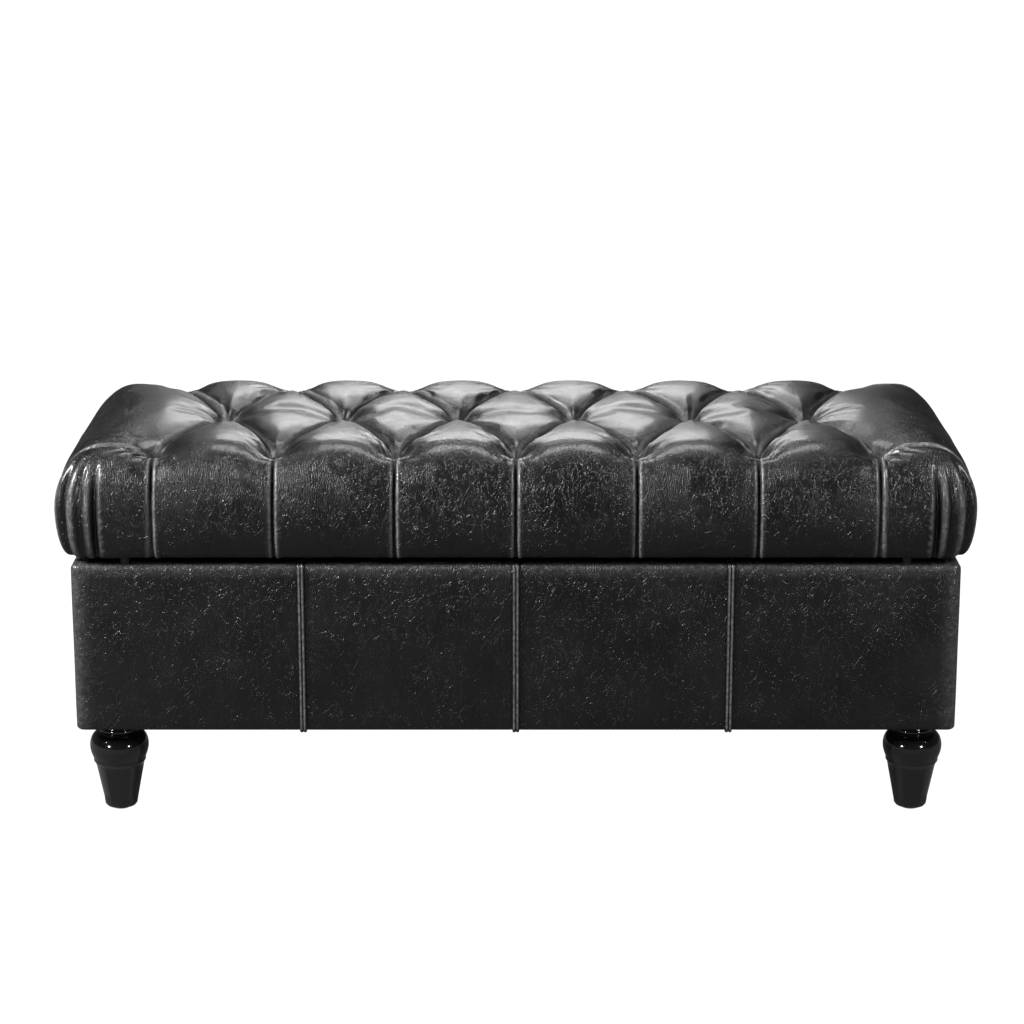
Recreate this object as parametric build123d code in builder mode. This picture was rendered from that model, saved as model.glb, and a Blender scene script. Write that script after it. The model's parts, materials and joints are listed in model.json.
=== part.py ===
"""Tufted storage ottoman with a hinged lid, in millimetres.

+Z is up and the floor is at z = 0. The front faces -Y. The origin is on the floor, under the middle.
"""

import os
from math import atan2, degrees, hypot

from build123d import *

# ---- driving dimensions -------------------------------------------------------------------------
# base
base_length = 1151
base_depth = 444
base_height = 226
base_corner_radius = 11
base_top_rounding = 8
base_bottom_rounding = 5
panel_thickness = 15
floor_thickness = 9
block_height = 26
block_side = 66
cleat_width = 20

# lid
lid_end_overhang = 21
lid_front_overhang = 15
lid_height = 146.6
lid_corner_radius = 50
lid_top_rounding = 46
lid_bottom_rounding = 15
lid_gap = 8
board_thickness = 15
board_inset = 20
wadding_under_button = 3
foam_inset = 22
foam_rounding = 20
lid_flange = 32

# skins
skin = 2
dust_cover_thickness = 1

# buttons
button_from_end = 129.4
button_from_front = 55
button_radius = 12
button_dome = 8
pitches_beside_middle = 3
pocket_depth = 30.6
pocket_top_radius = 20
pocket_bottom_radius = 13.5
tie_radius = 1
tie_drill_radius = 2

# welts on the front seams
welt_spacing = 278
bead_radius = 2
bead_offset = 1.8
welt_overhang = 2.5

# legs
leg_height = 123
leg_inset = 49.2
glide_height = 3
glide_radius = 12
glide_pin_radius = 2
glide_pin_length = 14
glide_rounding = 1
collar_radius = 25
collar_height = 17
bulb_radius = 38.8
bulb_below_top = 35
ring_radius = 34.2
ring_below_top = 54
taper_top_radius = 32.6
taper_below_top = 58
foot_radius = 21.4
foot_rounding = 3
flute_count = 6
flute_radius = 15
flute_depth = 2
flute_end_margin = 6
turning_overlap = 1
leg_plate_side = 40
leg_plate_thickness = 2
bolt_radius = 4
bolt_tip_clearance = 4
bolt_in_leg = 30
bolt_clearance = 0.5

# hinges
hinge_offset = 380
hinge_width = 76
leaf_depth = 28
leaf_thickness = 2
knuckle_count = 5
knuckle_clearance = 0.3
knuckle_gap = 0.5
leaf_relief = 1
pin_radius = 1.5
pin_clearance = 0.05
hinge_axis_behind = 3
leaf_screw_spacing = 25

# lid stays: each is a parallelogram between the hinge axis, the base pivot, the knee and the lid pivot
stay_bar_thickness = 2
stay_bar_half_width = 7
stay_layer_gap = 0.4
stay_reach = 120
stay_lid_drop = 10
base_pivot_forward = 40
base_pivot_drop = 69
rivet_radius = 3
rivet_clearance = 0.05
rivet_head_radius = 5
rivet_head_height = 1
bracket_screw_drops = (16, 36)
bracket_below_screw = 9
lid_bracket_length = 44
lid_bracket_foot = 20
lid_bracket_screw_spacing = 28

# screws and bumpers
screw_radius = 1.75
screw_length = 12
screw_head_radius = 3.4
screw_head_height = 1.4
screw_head_rounding = 0.7
bumper_radius = 6
bumper_clearance = 0.2
bumper_from_end = 60
bumper_set_in = 1

# ---- places worked out from them ----------------------------------------------------------------
base_bottom = leg_height
base_top = base_bottom + base_height
half_length = base_length / 2
half_depth = base_depth / 2
cavity_half_length = half_length - 2 * skin - panel_thickness
cavity_half_depth = half_depth - 2 * skin - panel_thickness
frame_bottom = base_bottom + skin
frame_top = base_top - skin
floor_bottom = frame_bottom + block_height
floor_top = floor_bottom + floor_thickness
lining_bottom = floor_top + skin
base_flange = panel_thickness + 2 * skin

lid_bottom = base_top + lid_gap
lid_length = base_length + 2 * lid_end_overhang
lid_depth = base_depth + 2 * lid_front_overhang
lid_top = lid_bottom + lid_height
lid_half_length = lid_length / 2
lid_half_depth = lid_depth / 2
board_bottom = lid_bottom + skin
board_top = board_bottom + board_thickness
pocket_floor = lid_top - pocket_depth
foam_top = pocket_floor - skin - wadding_under_button

hinge_y = half_depth + hinge_axis_behind
hinge_z = base_top + lid_gap / 2
knuckle_radius = lid_gap / 2 - knuckle_gap
leaf_front = hinge_y - leaf_depth
tang_depth = knuckle_radius + leaf_relief

# the four pivots of a stay, as y and z
base_pivot = (hinge_y - base_pivot_forward, hinge_z - base_pivot_drop)
lid_pivot = (hinge_y - stay_reach, hinge_z - stay_lid_drop)
knee = (base_pivot[0] - stay_reach, base_pivot[1] - stay_lid_drop)

# the layers of a stay, as distances from the middle of the ottoman
bracket_outer = cavity_half_length
bracket_inner = bracket_outer - stay_bar_thickness
arm_outer = bracket_inner - stay_layer_gap
arm_inner = arm_outer - stay_bar_thickness
link_outer = arm_inner - stay_layer_gap
link_inner = link_outer - stay_bar_thickness
ear_outer = link_inner - stay_layer_gap
ear_inner = ear_outer - stay_bar_thickness

bulb_height = leg_height - bulb_below_top
ring_height = leg_height - ring_below_top
taper_top_height = leg_height - taper_below_top
shaft_top_height = taper_top_height - turning_overlap
neck_height = 2 * ring_height - shaft_top_height

sides = {"left": -1, "right": 1}
ends = {"front": -1, "back": 1}
leg_places = {
    f"{end}_{side}": (sx * (half_length - leg_inset), sy * (half_depth - leg_inset))
    for side, sx in sides.items()
    for end, sy in ends.items()
}
button_pitch = (lid_half_length - button_from_end) / pitches_beside_middle
button_row_offset = lid_half_depth - button_from_front
long_row = range(-pitches_beside_middle, pitches_beside_middle + 1)
button_rows = {
    "front": [(n * button_pitch, -button_row_offset) for n in long_row],
    "middle": [((n + 0.5) * button_pitch, 0) for n in long_row[:-1]],
    "back": [(n * button_pitch, button_row_offset) for n in long_row],
}
button_places = [place for row in button_rows.values() for place in row]
welt_places = {"left": -welt_spacing, "centre": 0, "right": welt_spacing}

leaf_screw_y = cavity_half_depth + skin + panel_thickness / 2
leaf_screw_places = [
    (side * hinge_offset + step * leaf_screw_spacing, leaf_screw_y) for side in (-1, 1) for step in (-1, 0, 1)
]
bracket_screw_z = [base_pivot[1] - drop for drop in bracket_screw_drops]
lid_bracket_screw_x = ear_inner - lid_bracket_foot / 2
lid_bracket_screw_places = [
    (side * lid_bracket_screw_x, lid_pivot[0] + step * lid_bracket_screw_spacing / 2)
    for side in (-1, 1)
    for step in (-1, 1)
]
lid_screw_places = leaf_screw_places + lid_bracket_screw_places


def save(piece, name):
    """Labels a finished piece and writes it as one STEP file."""
    piece.part.label = name
    export_step(piece.part, f"parts/{name}.step")


# ---- base frame ---------------------------------------------------------------------------------
def rounded_box(length, depth, bottom, top, corner, top_rounding=0, bottom_rounding=0):
    """A box with rounded upright corners, and with its top and bottom edges rounded where asked."""
    with BuildPart() as box:
        with BuildSketch(Plane.XY.offset(bottom)):
            RectangleRounded(length, depth, corner)
        extrude(amount=top - bottom)
        if top_rounding:
            fillet(box.faces().sort_by(Axis.Z)[-1].edges(), top_rounding)
        if bottom_rounding:
            fillet(box.faces().sort_by(Axis.Z)[0].edges(), bottom_rounding)
    return box.part


def make_carcass():
    """The ring of the four panels, rounded outside and square inside, before it is cut at the corners."""
    with BuildPart() as carcass:
        add(
            rounded_box(
                base_length - 2 * skin,
                base_depth - 2 * skin,
                frame_bottom,
                frame_top,
                base_corner_radius - skin,
                base_top_rounding - skin,
                base_bottom_rounding - skin,
            )
        )
        with BuildSketch(Plane.XY.offset(frame_bottom)):
            Rectangle(2 * (cavity_half_length + skin), 2 * (cavity_half_depth + skin))
        extrude(amount=base_height, mode=Mode.SUBTRACT)
    return carcass.part


def drill(places, bottom, top, radius):
    """Cuts an upright hole at each place out of the part that is being built."""
    with Locations(*[(x, y, bottom) for x, y in places]):
        Cylinder(radius, top - bottom, align=(Align.CENTER, Align.CENTER, Align.MIN), mode=Mode.SUBTRACT)


def make_long_panel(carcass, name, sy):
    """The front or the back panel, which runs the whole length."""
    with BuildPart() as panel:
        add(carcass)
        with BuildSketch(Plane.XY.offset(frame_bottom)):
            with Locations((0, sy * (cavity_half_depth + skin + panel_thickness / 2))):
                Rectangle(base_length, panel_thickness)
        extrude(amount=base_height, mode=Mode.INTERSECT)
        if sy > 0:
            drill(leaf_screw_places, base_top - screw_length, base_top, screw_radius)
    save(panel, name)


def make_end_panel(carcass, name, sx):
    """The left or the right panel, which fits between the long ones."""
    with BuildPart() as panel:
        add(carcass)
        with BuildSketch(Plane.XY.offset(frame_bottom)):
            with Locations((sx * (cavity_half_length + skin + panel_thickness / 2), 0)):
                Rectangle(panel_thickness, 2 * (cavity_half_depth + skin))
        extrude(amount=base_height, mode=Mode.INTERSECT)
        with BuildSketch(Plane.YZ.offset(sx * (cavity_half_length + skin))):
            with Locations(*[(base_pivot[0], z) for z in bracket_screw_z]):
                Circle(screw_radius)
        extrude(amount=sx * (screw_length - skin - stay_bar_thickness), mode=Mode.SUBTRACT)
    save(panel, name)


def make_floor():
    """The floor of the storage space, on the leg blocks and the cleats."""
    with BuildPart() as floor_panel:
        with BuildSketch(Plane.XY.offset(floor_bottom)):
            Rectangle(2 * (cavity_half_length + skin), 2 * (cavity_half_depth + skin))
        extrude(amount=floor_thickness)
    save(floor_panel, "floor_panel")


def make_leg_block(corner, x, y):
    """A corner block under the floor that takes the leg's bolt."""
    sx = 1 if x > 0 else -1
    sy = 1 if y > 0 else -1
    block_x = cavity_half_length + skin - block_side / 2
    block_y = cavity_half_depth + skin - block_side / 2
    with BuildPart() as block:
        with BuildSketch(Plane.XY.offset(frame_bottom)):
            with Locations((sx * block_x, sy * block_y)):
                Rectangle(block_side, block_side)
        extrude(amount=block_height)
        with BuildSketch(Plane.XY.offset(frame_bottom)):
            with Locations((x, y)):
                Circle(bolt_radius + bolt_clearance)
        extrude(amount=block_height, mode=Mode.SUBTRACT)
    save(block, f"leg_block_{corner}")


def make_cleat(name, sy):
    """A batten along the panel, between two leg blocks."""
    with BuildPart() as cleat:
        with BuildSketch(Plane.XY.offset(frame_bottom)):
            with Locations((0, sy * (cavity_half_depth + skin - cleat_width / 2))):
                Rectangle(2 * (cavity_half_length + skin - block_side), cleat_width)
        extrude(amount=block_height)
    save(cleat, name)


# ---- base coverings -----------------------------------------------------------------------------
def make_base_skin():
    """The whole leather skin of the base: outside faces, top edge and a flange turned under the frame."""
    with BuildPart() as base_skin:
        add(
            rounded_box(
                base_length,
                base_depth,
                base_bottom,
                base_top,
                base_corner_radius,
                base_top_rounding,
                base_bottom_rounding,
            )
        )
        add(
            rounded_box(
                base_length - 2 * skin,
                base_depth - 2 * skin,
                frame_bottom,
                frame_top,
                base_corner_radius - skin,
                base_top_rounding - skin,
                base_bottom_rounding - skin,
            ),
            mode=Mode.SUBTRACT,
        )
        with BuildSketch(Plane.XY.offset(frame_top)):
            Rectangle(2 * cavity_half_length, 2 * cavity_half_depth)
        extrude(amount=skin, mode=Mode.SUBTRACT)
        with BuildSketch(Plane.XY.offset(base_bottom)):
            Rectangle(base_length - 2 * base_flange, base_depth - 2 * base_flange)
        extrude(amount=skin, mode=Mode.SUBTRACT)
    return base_skin.part


def make_cover_piece(base_skin, name, low, high, screws=()):
    """One cut piece of the leather skin, between two corners given as x and y."""
    with BuildPart() as cover:
        add(base_skin)
        with BuildSketch(Plane.XY.offset(base_bottom)):
            with Locations(((low[0] + high[0]) / 2, (low[1] + high[1]) / 2)):
                Rectangle(high[0] - low[0], high[1] - low[1])
        extrude(amount=base_height, mode=Mode.INTERSECT)
        if screws:
            drill(screws, frame_top, base_top, screw_radius)
    save(cover, name)


def make_base_cover():
    """Four front pieces, which turn the two front corners, then the two ends and the back."""
    base_skin = make_base_skin()
    end_line = cavity_half_depth
    seams = [-half_length, -welt_spacing, 0, welt_spacing, half_length]
    for number, (start, stop) in enumerate(zip(seams, seams[1:]), 1):
        make_cover_piece(base_skin, f"base_cover_front_{number}", (start, -half_depth), (stop, -end_line))
    make_cover_piece(base_skin, "base_cover_left", (-half_length, -end_line), (0, end_line))
    make_cover_piece(base_skin, "base_cover_right", (0, -end_line), (half_length, end_line))
    make_cover_piece(
        base_skin, "base_cover_back", (-half_length, end_line), (half_length, half_depth), leaf_screw_places
    )


def make_welt(name, x):
    """A double welt: two beads side by side down a front seam, with rounded ends."""
    low = base_bottom - welt_overhang + bead_radius
    high = base_top - base_top_rounding - bead_radius
    beads = [(x + step * bead_offset, -half_depth - bead_radius) for step in (-1, 1)]
    with BuildPart() as welt:
        with BuildSketch(Plane.XY.offset(low)):
            with Locations(*beads):
                Circle(bead_radius)
        extrude(amount=high - low)
        with Locations(*[(bead_x, bead_y, z) for bead_x, bead_y in beads for z in (low, high)]):
            Sphere(bead_radius)
    save(welt, name)


def make_linings():
    """The cloth inside the storage space: a floor sheet, then the four walls standing on it."""
    with BuildPart() as floor_lining:
        with BuildSketch(Plane.XY.offset(floor_top)):
            Rectangle(2 * (cavity_half_length + skin), 2 * (cavity_half_depth + skin))
        extrude(amount=skin)
    save(floor_lining, "lining_floor")
    for name, sy in ends.items():
        with BuildPart() as wall:
            with BuildSketch(Plane.XY.offset(lining_bottom)):
                with Locations((0, sy * (cavity_half_depth + skin / 2))):
                    Rectangle(2 * (cavity_half_length + skin), skin)
            extrude(amount=frame_top - lining_bottom)
        save(wall, f"lining_{name}")
    for name, sx in sides.items():
        with BuildPart() as wall:
            with BuildSketch(Plane.XY.offset(lining_bottom)):
                with Locations((sx * (cavity_half_length + skin / 2), 0)):
                    Rectangle(skin, 2 * cavity_half_depth)
            extrude(amount=frame_top - lining_bottom)
            with BuildSketch(Plane.YZ.offset(sx * cavity_half_length)):
                with Locations(*[(base_pivot[0], z) for z in bracket_screw_z]):
                    Circle(screw_radius)
            extrude(amount=sx * skin, mode=Mode.SUBTRACT)
        save(wall, f"lining_{name}")


def make_dust_cover():
    """The cloth under the frame, cut out round the leg plates."""
    with BuildPart() as dust_cover:
        with BuildSketch(Plane.XY.offset(frame_bottom - dust_cover_thickness)):
            Rectangle(base_length - 2 * base_flange, base_depth - 2 * base_flange)
            with Locations(*leg_places.values()):
                Rectangle(leg_plate_side, leg_plate_side, mode=Mode.SUBTRACT)
        extrude(amount=dust_cover_thickness)
    save(dust_cover, "dust_cover")


# ---- legs ---------------------------------------------------------------------------------------
def make_leg(corner, x, y):
    """A turned leg: fluted taper, ring, bulb and collar, bored for its bolt and its glide."""
    taper_height = taper_top_height - glide_height
    taper_angle = degrees(atan2(taper_top_radius - foot_radius, taper_height))
    with BuildPart() as leg:
        with BuildSketch(Plane.XZ.offset(-y)):
            with BuildLine():
                Polyline(
                    (x, taper_top_height),
                    (x, glide_height),
                    (x + foot_radius, glide_height),
                    (x + taper_top_radius, taper_top_height),
                    (x, taper_top_height),
                )
            make_face()
        revolve(axis=Axis((x, y, 0), (0, 0, 1)))
        fillet(leg.faces().sort_by(Axis.Z)[0].edges(), foot_rounding)
        with Locations((x, y, (taper_top_height + glide_height) / 2)):
            with PolarLocations(
                (foot_radius + taper_top_radius) / 2 + flute_radius - flute_depth,
                flute_count,
                start_angle=180 / flute_count,
            ):
                Cylinder(
                    flute_radius,
                    taper_height - 2 * flute_end_margin,
                    rotation=(0, taper_angle, 0),
                    mode=Mode.SUBTRACT,
                )
        with BuildSketch(Plane.XZ.offset(-y)):
            with BuildLine():
                Polyline(
                    (x + collar_radius, leg_height - collar_height),
                    (x + collar_radius, leg_height),
                    (x, leg_height),
                    (x, shaft_top_height),
                    (x + taper_top_radius, shaft_top_height),
                    (x + ring_radius, ring_height),
                    (x + taper_top_radius, neck_height),
                )
                ThreePointArc(
                    (x + taper_top_radius, neck_height),
                    (x + bulb_radius, bulb_height),
                    (x + collar_radius, leg_height - collar_height),
                )
            make_face()
        revolve(axis=Axis((x, y, 0), (0, 0, 1)))
        with BuildSketch(Plane.XY.offset(leg_height - bolt_in_leg)):
            with Locations((x, y)):
                Circle(bolt_radius)
        extrude(amount=bolt_in_leg, mode=Mode.SUBTRACT)
        with BuildSketch(Plane.XY.offset(glide_height)):
            with Locations((x, y)):
                Circle(glide_pin_radius)
        extrude(amount=glide_pin_length, mode=Mode.SUBTRACT)
    save(leg, f"leg_{corner}")


def make_leg_plates():
    """The steel plates between the legs and the leg blocks."""
    with BuildPart() as leg_plates:
        with BuildSketch(Plane.XY.offset(base_bottom)):
            with Locations(*leg_places.values()):
                Rectangle(leg_plate_side, leg_plate_side)
                Circle(bolt_radius, mode=Mode.SUBTRACT)
        extrude(amount=leg_plate_thickness)
    save(leg_plates, "leg_plates")


def make_leg_bolts():
    """The bolts that stand in the legs and go up into the leg blocks."""
    with BuildPart() as leg_bolts:
        with BuildSketch(Plane.XY.offset(leg_height - bolt_in_leg)):
            with Locations(*leg_places.values()):
                Circle(bolt_radius)
        extrude(amount=floor_bottom - bolt_tip_clearance - leg_height + bolt_in_leg)
    save(leg_bolts, "leg_bolts")


def make_glides():
    """The nylon glides nailed under the feet."""
    with BuildPart() as glides:
        with BuildSketch():
            with Locations(*leg_places.values()):
                Circle(glide_radius)
        extrude(amount=glide_height)
        fillet(glides.faces().sort_by(Axis.Z)[:4].edges(), glide_rounding)
        with BuildSketch(Plane.XY.offset(glide_height)):
            with Locations(*leg_places.values()):
                Circle(glide_pin_radius)
        extrude(amount=glide_pin_length)
    save(glides, "leg_glides")


# ---- lid ----------------------------------------------------------------------------------------
def make_pockets(extra):
    """The cone at each button, made larger all round by extra."""
    height = pocket_depth + extra
    slope = (pocket_top_radius - pocket_bottom_radius) / pocket_depth
    with BuildPart() as pocket:
        Cone(
            pocket_bottom_radius + extra,
            pocket_bottom_radius + extra + slope * height,
            height,
            align=(Align.CENTER, Align.CENTER, Align.MIN),
        )
    return [Pos(x, y, pocket_floor - extra) * pocket.part for x, y in button_places]


def make_lid_fill():
    """Everything inside the leather cover: board, foam and wadding in one shape, with the button pockets."""
    with BuildPart() as lid_fill:
        add(
            rounded_box(
                lid_length - 2 * skin,
                lid_depth - 2 * skin,
                board_bottom,
                lid_top - skin,
                lid_corner_radius - skin,
                lid_top_rounding - skin,
                lid_bottom_rounding - skin,
            )
        )
        add(make_pockets(skin), mode=Mode.SUBTRACT)
    return lid_fill.part


def make_lid_board():
    """The plywood board that carries the seat, drilled for the ties and the screws."""
    with BuildPart() as lid_board:
        with BuildSketch(Plane.XY.offset(board_bottom)):
            RectangleRounded(
                lid_length - 2 * board_inset, lid_depth - 2 * board_inset, lid_corner_radius - board_inset
            )
        extrude(amount=board_thickness)
        drill(button_places, board_bottom, board_top, tie_drill_radius)
        drill(lid_screw_places, lid_bottom, lid_bottom + screw_length, screw_radius)
    save(lid_board, "lid_board")


def make_foam_block():
    return rounded_box(
        lid_length - 2 * foam_inset,
        lid_depth - 2 * foam_inset,
        board_top,
        foam_top,
        lid_corner_radius - foam_inset,
        foam_rounding,
    )


def make_lid_foam():
    """The foam block, glued to the board."""
    with BuildPart() as lid_foam:
        add(make_foam_block())
        drill(button_places, board_top, foam_top, tie_radius)
    save(lid_foam, "lid_foam")


def make_lid_wadding(lid_fill):
    """The wadding that fills the cover round the foam and the board."""
    with BuildPart() as lid_wadding:
        add(lid_fill)
        add(make_foam_block(), mode=Mode.SUBTRACT)
        with BuildSketch(Plane.XY.offset(board_bottom)):
            RectangleRounded(
                lid_length - 2 * board_inset, lid_depth - 2 * board_inset, lid_corner_radius - board_inset
            )
        extrude(amount=board_thickness, mode=Mode.SUBTRACT)
        drill(button_places, foam_top, pocket_floor, tie_radius)
    save(lid_wadding, "lid_wadding")


def make_lid_cover(lid_fill):
    """The tufted leather cover, turned under the board."""
    with BuildPart() as lid_cover:
        add(
            rounded_box(
                lid_length,
                lid_depth,
                lid_bottom,
                lid_top,
                lid_corner_radius,
                lid_top_rounding,
                lid_bottom_rounding,
            )
        )
        add(make_pockets(0), mode=Mode.SUBTRACT)
        add(lid_fill, mode=Mode.SUBTRACT)
        with BuildSketch(Plane.XY.offset(lid_bottom)):
            Rectangle(lid_length - 2 * (board_inset + lid_flange), lid_depth - 2 * (board_inset + lid_flange))
        extrude(amount=skin, mode=Mode.SUBTRACT)
        drill(lid_screw_places, lid_bottom, board_bottom, screw_radius)
        drill(button_places, pocket_floor - skin, pocket_floor, tie_radius)
    save(lid_cover, "lid_cover")


def make_lid_lining():
    """The cloth panel under the board, inside the turned leather."""
    with BuildPart() as lid_lining:
        with BuildSketch(Plane.XY.offset(lid_bottom)):
            Rectangle(lid_length - 2 * (board_inset + lid_flange), lid_depth - 2 * (board_inset + lid_flange))
        extrude(amount=skin)
        drill(lid_screw_places, lid_bottom, board_bottom, screw_radius)
    save(lid_lining, "lid_lining")


def make_button_row(name, places):
    """A row of covered buttons, each a low dome on a flat back."""
    sphere_radius = (button_radius**2 + button_dome**2) / (2 * button_dome)
    with BuildPart() as button:
        with Locations((0, 0, pocket_floor + button_dome - sphere_radius)):
            Sphere(sphere_radius)
        split(bisect_by=Plane.XY.offset(pocket_floor), keep=Keep.TOP)
    with BuildPart() as row:
        add([Pos(x, y, 0) * button.part for x, y in places])
    save(row, f"buttons_{name}")


def make_button_ties():
    """The twine from each button down through the foam into the board."""
    with BuildPart() as ties:
        with BuildSketch(Plane.XY.offset(board_bottom)):
            with Locations(*button_places):
                Circle(tie_radius)
        extrude(amount=pocket_floor - board_bottom)
    save(ties, "button_ties")


# ---- hinges -------------------------------------------------------------------------------------
def make_hinge(side, sx):
    """A butt hinge lying flat in the gap: the base leaf, the lid leaf and the pin."""
    middle = sx * hinge_offset
    knuckle_pitch = hinge_width / knuckle_count
    leaves = {
        "base": (range(0, knuckle_count, 2), base_top),
        "lid": (range(1, knuckle_count, 2), lid_bottom - leaf_thickness),
    }
    for owner, (turns, leaf_bottom) in leaves.items():
        screws = [(x, y) for x, y in leaf_screw_places if x * sx > 0]
        with BuildPart() as leaf:
            with BuildSketch(Plane.XY.offset(leaf_bottom)):
                with Locations((middle, leaf_front + (leaf_depth - knuckle_radius - leaf_relief) / 2)):
                    Rectangle(hinge_width, leaf_depth - knuckle_radius - leaf_relief)
            extrude(amount=leaf_thickness)
            for turn in turns:
                start = middle - hinge_width / 2 + turn * knuckle_pitch + knuckle_clearance / 2
                with BuildSketch(Plane.YZ.offset(start)):
                    with Locations((hinge_y, hinge_z)):
                        Circle(knuckle_radius)
                    with Locations((hinge_y - tang_depth / 2, leaf_bottom + leaf_thickness / 2)):
                        Rectangle(tang_depth, leaf_thickness)
                extrude(amount=knuckle_pitch - knuckle_clearance)
            with BuildSketch(Plane.YZ.offset(middle - hinge_width / 2)):
                with Locations((hinge_y, hinge_z)):
                    Circle(pin_radius if owner == "base" else pin_radius + pin_clearance)
            extrude(amount=hinge_width, mode=Mode.SUBTRACT)
            drill(screws, leaf_bottom, leaf_bottom + leaf_thickness, screw_radius)
        save(leaf, f"hinge_{side}_{owner}_leaf")
    with BuildPart() as pin:
        with BuildSketch(Plane.YZ.offset(middle - hinge_width / 2)):
            with Locations((hinge_y, hinge_z)):
                Circle(pin_radius)
        extrude(amount=hinge_width)
    save(pin, f"hinge_{side}_pin")


# ---- lid stays ----------------------------------------------------------------------------------
def stay_bar(start, stop, plane, thickness, bores):
    """A flat bar with round ends between two pivots, bored at the pivots named."""
    middle = ((start[0] + stop[0]) / 2, (start[1] + stop[1]) / 2)
    length = hypot(stop[0] - start[0], stop[1] - start[1])
    angle = degrees(atan2(stop[1] - start[1], stop[0] - start[0]))
    with BuildPart() as bar:
        with BuildSketch(plane):
            with Locations(Location((middle[0], middle[1], 0), (0, 0, angle))):
                SlotCenterToCenter(length, 2 * stay_bar_half_width)
            with Locations(*bores):
                Circle(rivet_radius + rivet_clearance, mode=Mode.SUBTRACT)
        extrude(amount=thickness)
    return bar.part


def rivet(pivot, sx, start, stop):
    """A rivet from one layer to the next, with its head past the far face of the bar it holds."""
    with BuildPart() as pivot_rivet:
        with BuildSketch(Plane.YZ.offset(sx * start)):
            with Locations(pivot):
                Circle(rivet_radius)
        extrude(amount=sx * (stop - start))
        with BuildSketch(Plane.YZ.offset(sx * stop)):
            with Locations(pivot):
                Circle(rivet_head_radius)
        extrude(amount=sx * rivet_head_height * (1 if stop > start else -1))
    return pivot_rivet.part


def make_stay(side, sx):
    """A lid stay: base bracket, arm, link and lid bracket, each with the rivet that the next one turns on."""
    plate_bottom = bracket_screw_z[-1] - bracket_below_screw + stay_bar_half_width
    with BuildPart() as base_bracket:
        with BuildSketch(Plane.YZ.offset(sx * bracket_inner)):
            with Locations((base_pivot[0], (base_pivot[1] + plate_bottom) / 2, 0)):
                SlotCenterToCenter(base_pivot[1] - plate_bottom, 2 * stay_bar_half_width, rotation=90)
            with Locations(*[(base_pivot[0], z) for z in bracket_screw_z]):
                Circle(screw_radius, mode=Mode.SUBTRACT)
        extrude(amount=sx * stay_bar_thickness)
        add(rivet(base_pivot, sx, bracket_inner, arm_inner - stay_layer_gap / 2))
    save(base_bracket, f"stay_{side}_base_bracket")

    with BuildPart() as arm:
        add(
            stay_bar(base_pivot, knee, Plane.YZ.offset(sx * arm_inner), sx * stay_bar_thickness, [base_pivot])
        )
        add(rivet(knee, sx, arm_inner, link_inner - stay_layer_gap / 2))
    save(arm, f"stay_{side}_arm")

    with BuildPart() as link:
        add(
            stay_bar(
                knee, lid_pivot, Plane.YZ.offset(sx * link_inner), sx * stay_bar_thickness, [knee, lid_pivot]
            )
        )
    save(link, f"stay_{side}_link")

    with BuildPart() as lid_bracket:
        with BuildSketch(Plane.YZ.offset(sx * ear_inner)):
            with Locations((lid_pivot[0], (lid_bottom + lid_pivot[1]) / 2)):
                Rectangle(2 * stay_bar_half_width, lid_bottom - lid_pivot[1])
            with Locations(lid_pivot):
                Circle(stay_bar_half_width)
        extrude(amount=sx * stay_bar_thickness)
        with BuildSketch(Plane.XY.offset(lid_bottom - stay_bar_thickness)):
            with Locations((sx * (ear_outer - (lid_bracket_foot + stay_bar_thickness) / 2), lid_pivot[0])):
                Rectangle(lid_bracket_foot + stay_bar_thickness, lid_bracket_length)
            with Locations(*[place for place in lid_bracket_screw_places if place[0] * sx > 0]):
                Circle(screw_radius, mode=Mode.SUBTRACT)
        extrude(amount=stay_bar_thickness)
        add(rivet(lid_pivot, sx, ear_outer, link_outer + stay_layer_gap / 2))
    save(lid_bracket, f"stay_{side}_lid_bracket")


# ---- screws and bumpers -------------------------------------------------------------------------
def make_screw():
    """A wood screw with its head's flat face at z = 0, pointing down."""
    with BuildPart() as screw:
        Cylinder(screw_radius, screw_length, align=(Align.CENTER, Align.CENTER, Align.MAX))
        Cylinder(screw_head_radius, screw_head_height, align=(Align.CENTER, Align.CENTER, Align.MIN))
        fillet(screw.faces().sort_by(Axis.Z)[-1].edges(), screw_head_rounding)
    return screw.part


def make_screws():
    """The screws of the hinges and the stays, in the base and in the lid."""
    screw = make_screw()
    leaf_top = base_top + leaf_thickness
    with BuildPart() as base_screws:
        add([Pos(x, y, leaf_top) * screw for x, y in leaf_screw_places])
        for sx in (-1, 1):
            add(
                [
                    Location((sx * bracket_inner, base_pivot[0], z), (0, -sx * 90, 0)) * screw
                    for z in bracket_screw_z
                ]
            )
    save(base_screws, "base_screws")
    with BuildPart() as lid_screws:
        add(
            [
                Location((x, y, lid_bottom - leaf_thickness), (180, 0, 0)) * screw
                for x, y in lid_screw_places
            ]
        )
    save(lid_screws, "lid_screws")


def make_bumpers():
    """The rubber bumpers on the top edge of the base that carry the closed lid."""
    x = half_length - skin - panel_thickness / 2 - bumper_set_in
    y = half_depth - skin - panel_thickness / 2 - bumper_set_in
    places = [(sx * x, sy * (y - bumper_from_end)) for sx in (-1, 1) for sy in (-1, 1)]
    places += [(sx * (x - bumper_from_end), -y) for sx in (-1, 1)]
    with BuildPart() as bumpers:
        with BuildSketch(Plane.XY.offset(base_top)):
            with Locations(*places):
                Circle(bumper_radius)
        extrude(amount=lid_gap - bumper_clearance)
    save(bumpers, "bumpers")


# ---- build everything ---------------------------------------------------------------------------
os.makedirs("parts", exist_ok=True)

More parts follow.
